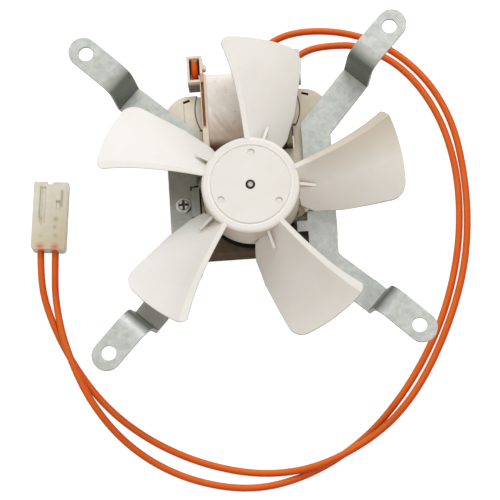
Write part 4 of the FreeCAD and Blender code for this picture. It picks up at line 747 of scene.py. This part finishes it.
def tape_outline():
    """Points round the coil, each (y, z, outward y, outward z)."""
    # each corner with the angle where its arc starts and the steps of the side after it
    corners = ((TAPE_Y[1], TAPE_Z[1], 0, 54), (TAPE_Y[0], TAPE_Z[1], 90, 16),
               (TAPE_Y[0], TAPE_Z[0], 180, 16), (TAPE_Y[1], TAPE_Z[0], 270, 16))
    outline = []
    for y, z, start, steps in corners:
        centre_y = y - math.copysign(TAPE_CORNER, y - sum(TAPE_Y) / 2)
        centre_z = z - math.copysign(TAPE_CORNER, z - sum(TAPE_Z) / 2)
        for step in range(TAPE_CORNER_STEPS + 1):
            angle = math.radians(start + step * 90 / TAPE_CORNER_STEPS)
            out = (math.cos(angle), math.sin(angle))
            outline.append((centre_y + TAPE_CORNER * out[0], centre_z + TAPE_CORNER * out[1],
                            *out))
        out = (round(math.cos(angle)), round(math.sin(angle)))
        side = TAPE_Y if out[1] else TAPE_Z
        length = side[1] - side[0] - 2 * TAPE_CORNER
        first = outline[-1]
        for step in range(1, steps):
            share = length * step / steps
            outline.append((first[0] - out[1] * share, first[1] + out[0] * share, *out))
    return outline


def fold_height(x, y, z):
    """How far the tape stands off its smooth shape: creases from top left to lower right."""
    fold_x, fold_y = FOLD_ACROSS
    across = fold_x * x + fold_y * y
    along = fold_y * x - fold_x * y
    wide = noise.noise(Vector((across * 0.22, along * 0.07, z * 0.15)))
    narrow = noise.noise(Vector((across * 0.5 + 9, along * 0.12, z * 0.2)))
    height = 0.22 * wide + 0.2 * narrow
    for rise, place, middle, half in FOLDS:
        height += rise * math.exp(-((across - place) / FOLD_HALF_WIDTH) ** 2
                                  - ((along - middle) / half) ** 2)
    lowest, highest = FOLD_LIMITS
    return max(lowest, min(highest, height))


def wind_tape():
    """Wound tape: a folded outside, a smooth inside, and the two edges between them."""
    outline = tape_outline()
    rings = []
    for column in range(TAPE_COLUMNS + 1):
        x = TAPE_HALF_WIDTH * (2 * column / TAPE_COLUMNS - 1)
        edge = min(1.0, (TAPE_HALF_WIDTH - abs(x)) / TAPE_EDGE)
        ring = []
        for y, z, out_y, out_z in outline:
            rise = edge * fold_height(x, y, z)
            ring.append((x, y + out_y * rise, z + out_z * rise))
        rings.append(ring)
    for x in (-TAPE_HALF_WIDTH, TAPE_HALF_WIDTH):
        rings.append([(x, y - TAPE_THICKNESS * out_y, z - TAPE_THICKNESS * out_z)
                      for y, z, out_y, out_z in outline])
    vertices = [motor_point(*place) for ring in rings for place in ring]
    count = len(outline)
    inner_low, inner_high = TAPE_COLUMNS + 1, TAPE_COLUMNS + 2
    walls = [(ring, ring + 1) for ring in range(TAPE_COLUMNS)]
    walls += [(TAPE_COLUMNS, inner_high), (inner_high, inner_low), (inner_low, 0)]
    faces = []
    for first, second in walls:
        for step in range(count):
            following = (step + 1) % count
            faces.append((first * count + step, second * count + step,
                          second * count + following, first * count + following))
    mesh = bpy.data.meshes.new("coil_tape_wound")
    mesh.from_pydata(vertices, [], faces)
    mesh.shade_smooth()
    mesh.materials.append(TAPE)
    tape = collection_link(bpy.data.objects.new("coil_tape_wound", mesh))
    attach(tape, "motor")
    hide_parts("coil_tape")


wind_tape()


# Small blocks fixed to the motor
BLOCK_FACES = ((0, 1, 3, 2), (4, 6, 7, 5), (0, 4, 5, 1), (2, 3, 7, 6), (0, 2, 6, 4), (1, 5, 7, 3))
BOX_MIDDLE = 16.5  # middle of a terminal box beside the motor's middle line
WEB_Z = (19.0, 19.6)
# Web round the lead: x from the box's middle, then y
WEB_SPANS = ((-1.74, 1.74, 45.0, 49.1), (-1.74, 1.74, 41.7, 42.2),
             (-1.74, -1.32, 42.2, 45.0), (1.32, 1.74, 42.2, 45.0))
STEP_X = ((-20.4, -18.9), (18.9, 20.4))
STEP_HALF_WIDTH = 5.05
STEP_Z = (23.15, 23.42)


def add_blocks(name, material, blocks):
    """Piece made of blocks, each given by its spans in x, y and z in the motor's square."""
    vertices = []
    faces = []
    for spans in blocks:
        first = len(vertices)
        vertices += [motor_point(x, y, z) for x in spans[0] for y in spans[1] for z in spans[2]]
        faces += [tuple(first + corner for corner in face) for face in BLOCK_FACES]
    mesh = bpy.data.meshes.new(name)
    mesh.from_pydata(vertices, [], faces)
    mesh.materials.append(material)
    piece = collection_link(bpy.data.objects.new(name, mesh))
    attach(piece, "motor")


def webs(side):
    """Dark web round the lead, low in its terminal box, standing for the shade deep in the box."""
    middle = side * BOX_MIDDLE
    return [((middle + x0, middle + x1), (y0, y1), WEB_Z) for x0, x1, y0, y1 in WEB_SPANS]


# the webs are painted shade: dark sheets closing the see-through gap round each lead
add_blocks("terminal_box_shade_webs", NYLON, webs(-1) + webs(1))
# the bridge's steps run on to the plates
add_blocks("bridge_steps", ZINC,
           [(x_span, (-STEP_HALF_WIDTH, STEP_HALF_WIDTH), STEP_Z) for x_span in STEP_X])


# Floor, world and lamps
FLOOR_HALF = 3.0
FLOOR_LEVEL = -0.2 * MM
FLOOR_TONE = 0.5
FLOOR_GLOW = 0.85
SKY_LEVEL = 0.37
SKY_OVERHEAD = 0.36  # added straight above
SKY_BACK = 0.18  # added straight behind
SKY_LEAST = 0.12
WHITE = (1.0, 1.0, 1.0, 1.0)
WARM = (1.0, 0.86, 0.68, 1.0)
LAMP_AIM = point(0, 0, 20)


def add_floor():
    """White floor that still takes the shadow."""
    mesh = bpy.data.meshes.new("floor")
    corners = [(x * FLOOR_HALF, y * FLOOR_HALF, FLOOR_LEVEL)
               for x, y in ((-1, -1), (1, -1), (1, 1), (-1, 1))]
    mesh.from_pydata(corners, [], [(0, 1, 2, 3)])
    floor = collection_link(bpy.data.objects.new("floor", mesh))
    material, nodes, surface = new_material("floor_white", Roughness=0.9)
    surface.inputs["Base Color"].default_value = (FLOOR_TONE, FLOOR_TONE, FLOOR_TONE, 1)
    path = nodes.new("LightPath").outputs
    seen = nodes.largest(path["Is Camera Ray"], path["Is Glossy Ray"],
                         path["Is Transmission Ray"])
    glow = nodes.new("Emission", Strength=nodes.product(seen, FLOOR_GLOW))
    both = nodes.new("AddShader")
    nodes.put(both.inputs[0], surface.outputs[0])
    nodes.put(both.inputs[1], glow.outputs[0])
    nodes.put(material.node_tree.nodes["Material Output"].inputs["Surface"], both.outputs[0])
    mesh.materials.append(material)


def add_world():
    """Soft light from all round, white where the camera sees it."""
    world = bpy.data.worlds.new("studio")
    bpy.context.scene.world = world
    world.use_nodes = True
    world.node_tree.nodes.clear()
    nodes = Nodes(world.node_tree)
    # brighter overhead and towards the back, dim and warm low in front
    direction = nodes.split(nodes.new("TexCoord").outputs["Generated"])
    strength = nodes.math("ADD", nodes.product(direction[2], SKY_OVERHEAD),
                          nodes.product(direction[1], SKY_BACK))
    strength = nodes.largest(nodes.math("ADD", strength, SKY_LEVEL), SKY_LEAST)
    colour = nodes.mix(nodes.ramp(direction[1], -0.9, 0.3), WARM, WHITE)
    soft = nodes.new("Background", Strength=strength, Color=colour)
    white = nodes.new("Background", Strength=1.0, Color=WHITE)
    path = nodes.new("LightPath").outputs
    both = nodes.new("MixShader")
    nodes.put(both.inputs[0], nodes.largest(path["Is Camera Ray"], path["Is Transmission Ray"]))
    nodes.put(both.inputs[1], soft.outputs[0])
    nodes.put(both.inputs[2], white.outputs[0])
    nodes.put(nodes.new("OutputWorld").inputs["Surface"], both.outputs[0])


def add_lamp(name, position, size, power):
    """Square lamp that looks at the fan."""
    data = bpy.data.lights.new(name, "AREA")
    data.shape = "SQUARE"
    data.size = size
    data.energy = power
    lamp = collection_link(bpy.data.objects.new(name, data))
    place = Vector(position)
    turn = (LAMP_AIM - place).to_track_quat("-Z", "Y").to_matrix().to_4x4()
    lamp.matrix_world = Matrix.Translation(place) @ turn


add_floor()
add_world()
add_lamp("key", (0.22, 0.82, 0.849), 0.6, 5.4)
add_lamp("fill", (0.336, -0.924, 0.688), 0.8, 2.8)

bpy.context.scene.view_settings.view_transform = "Standard"
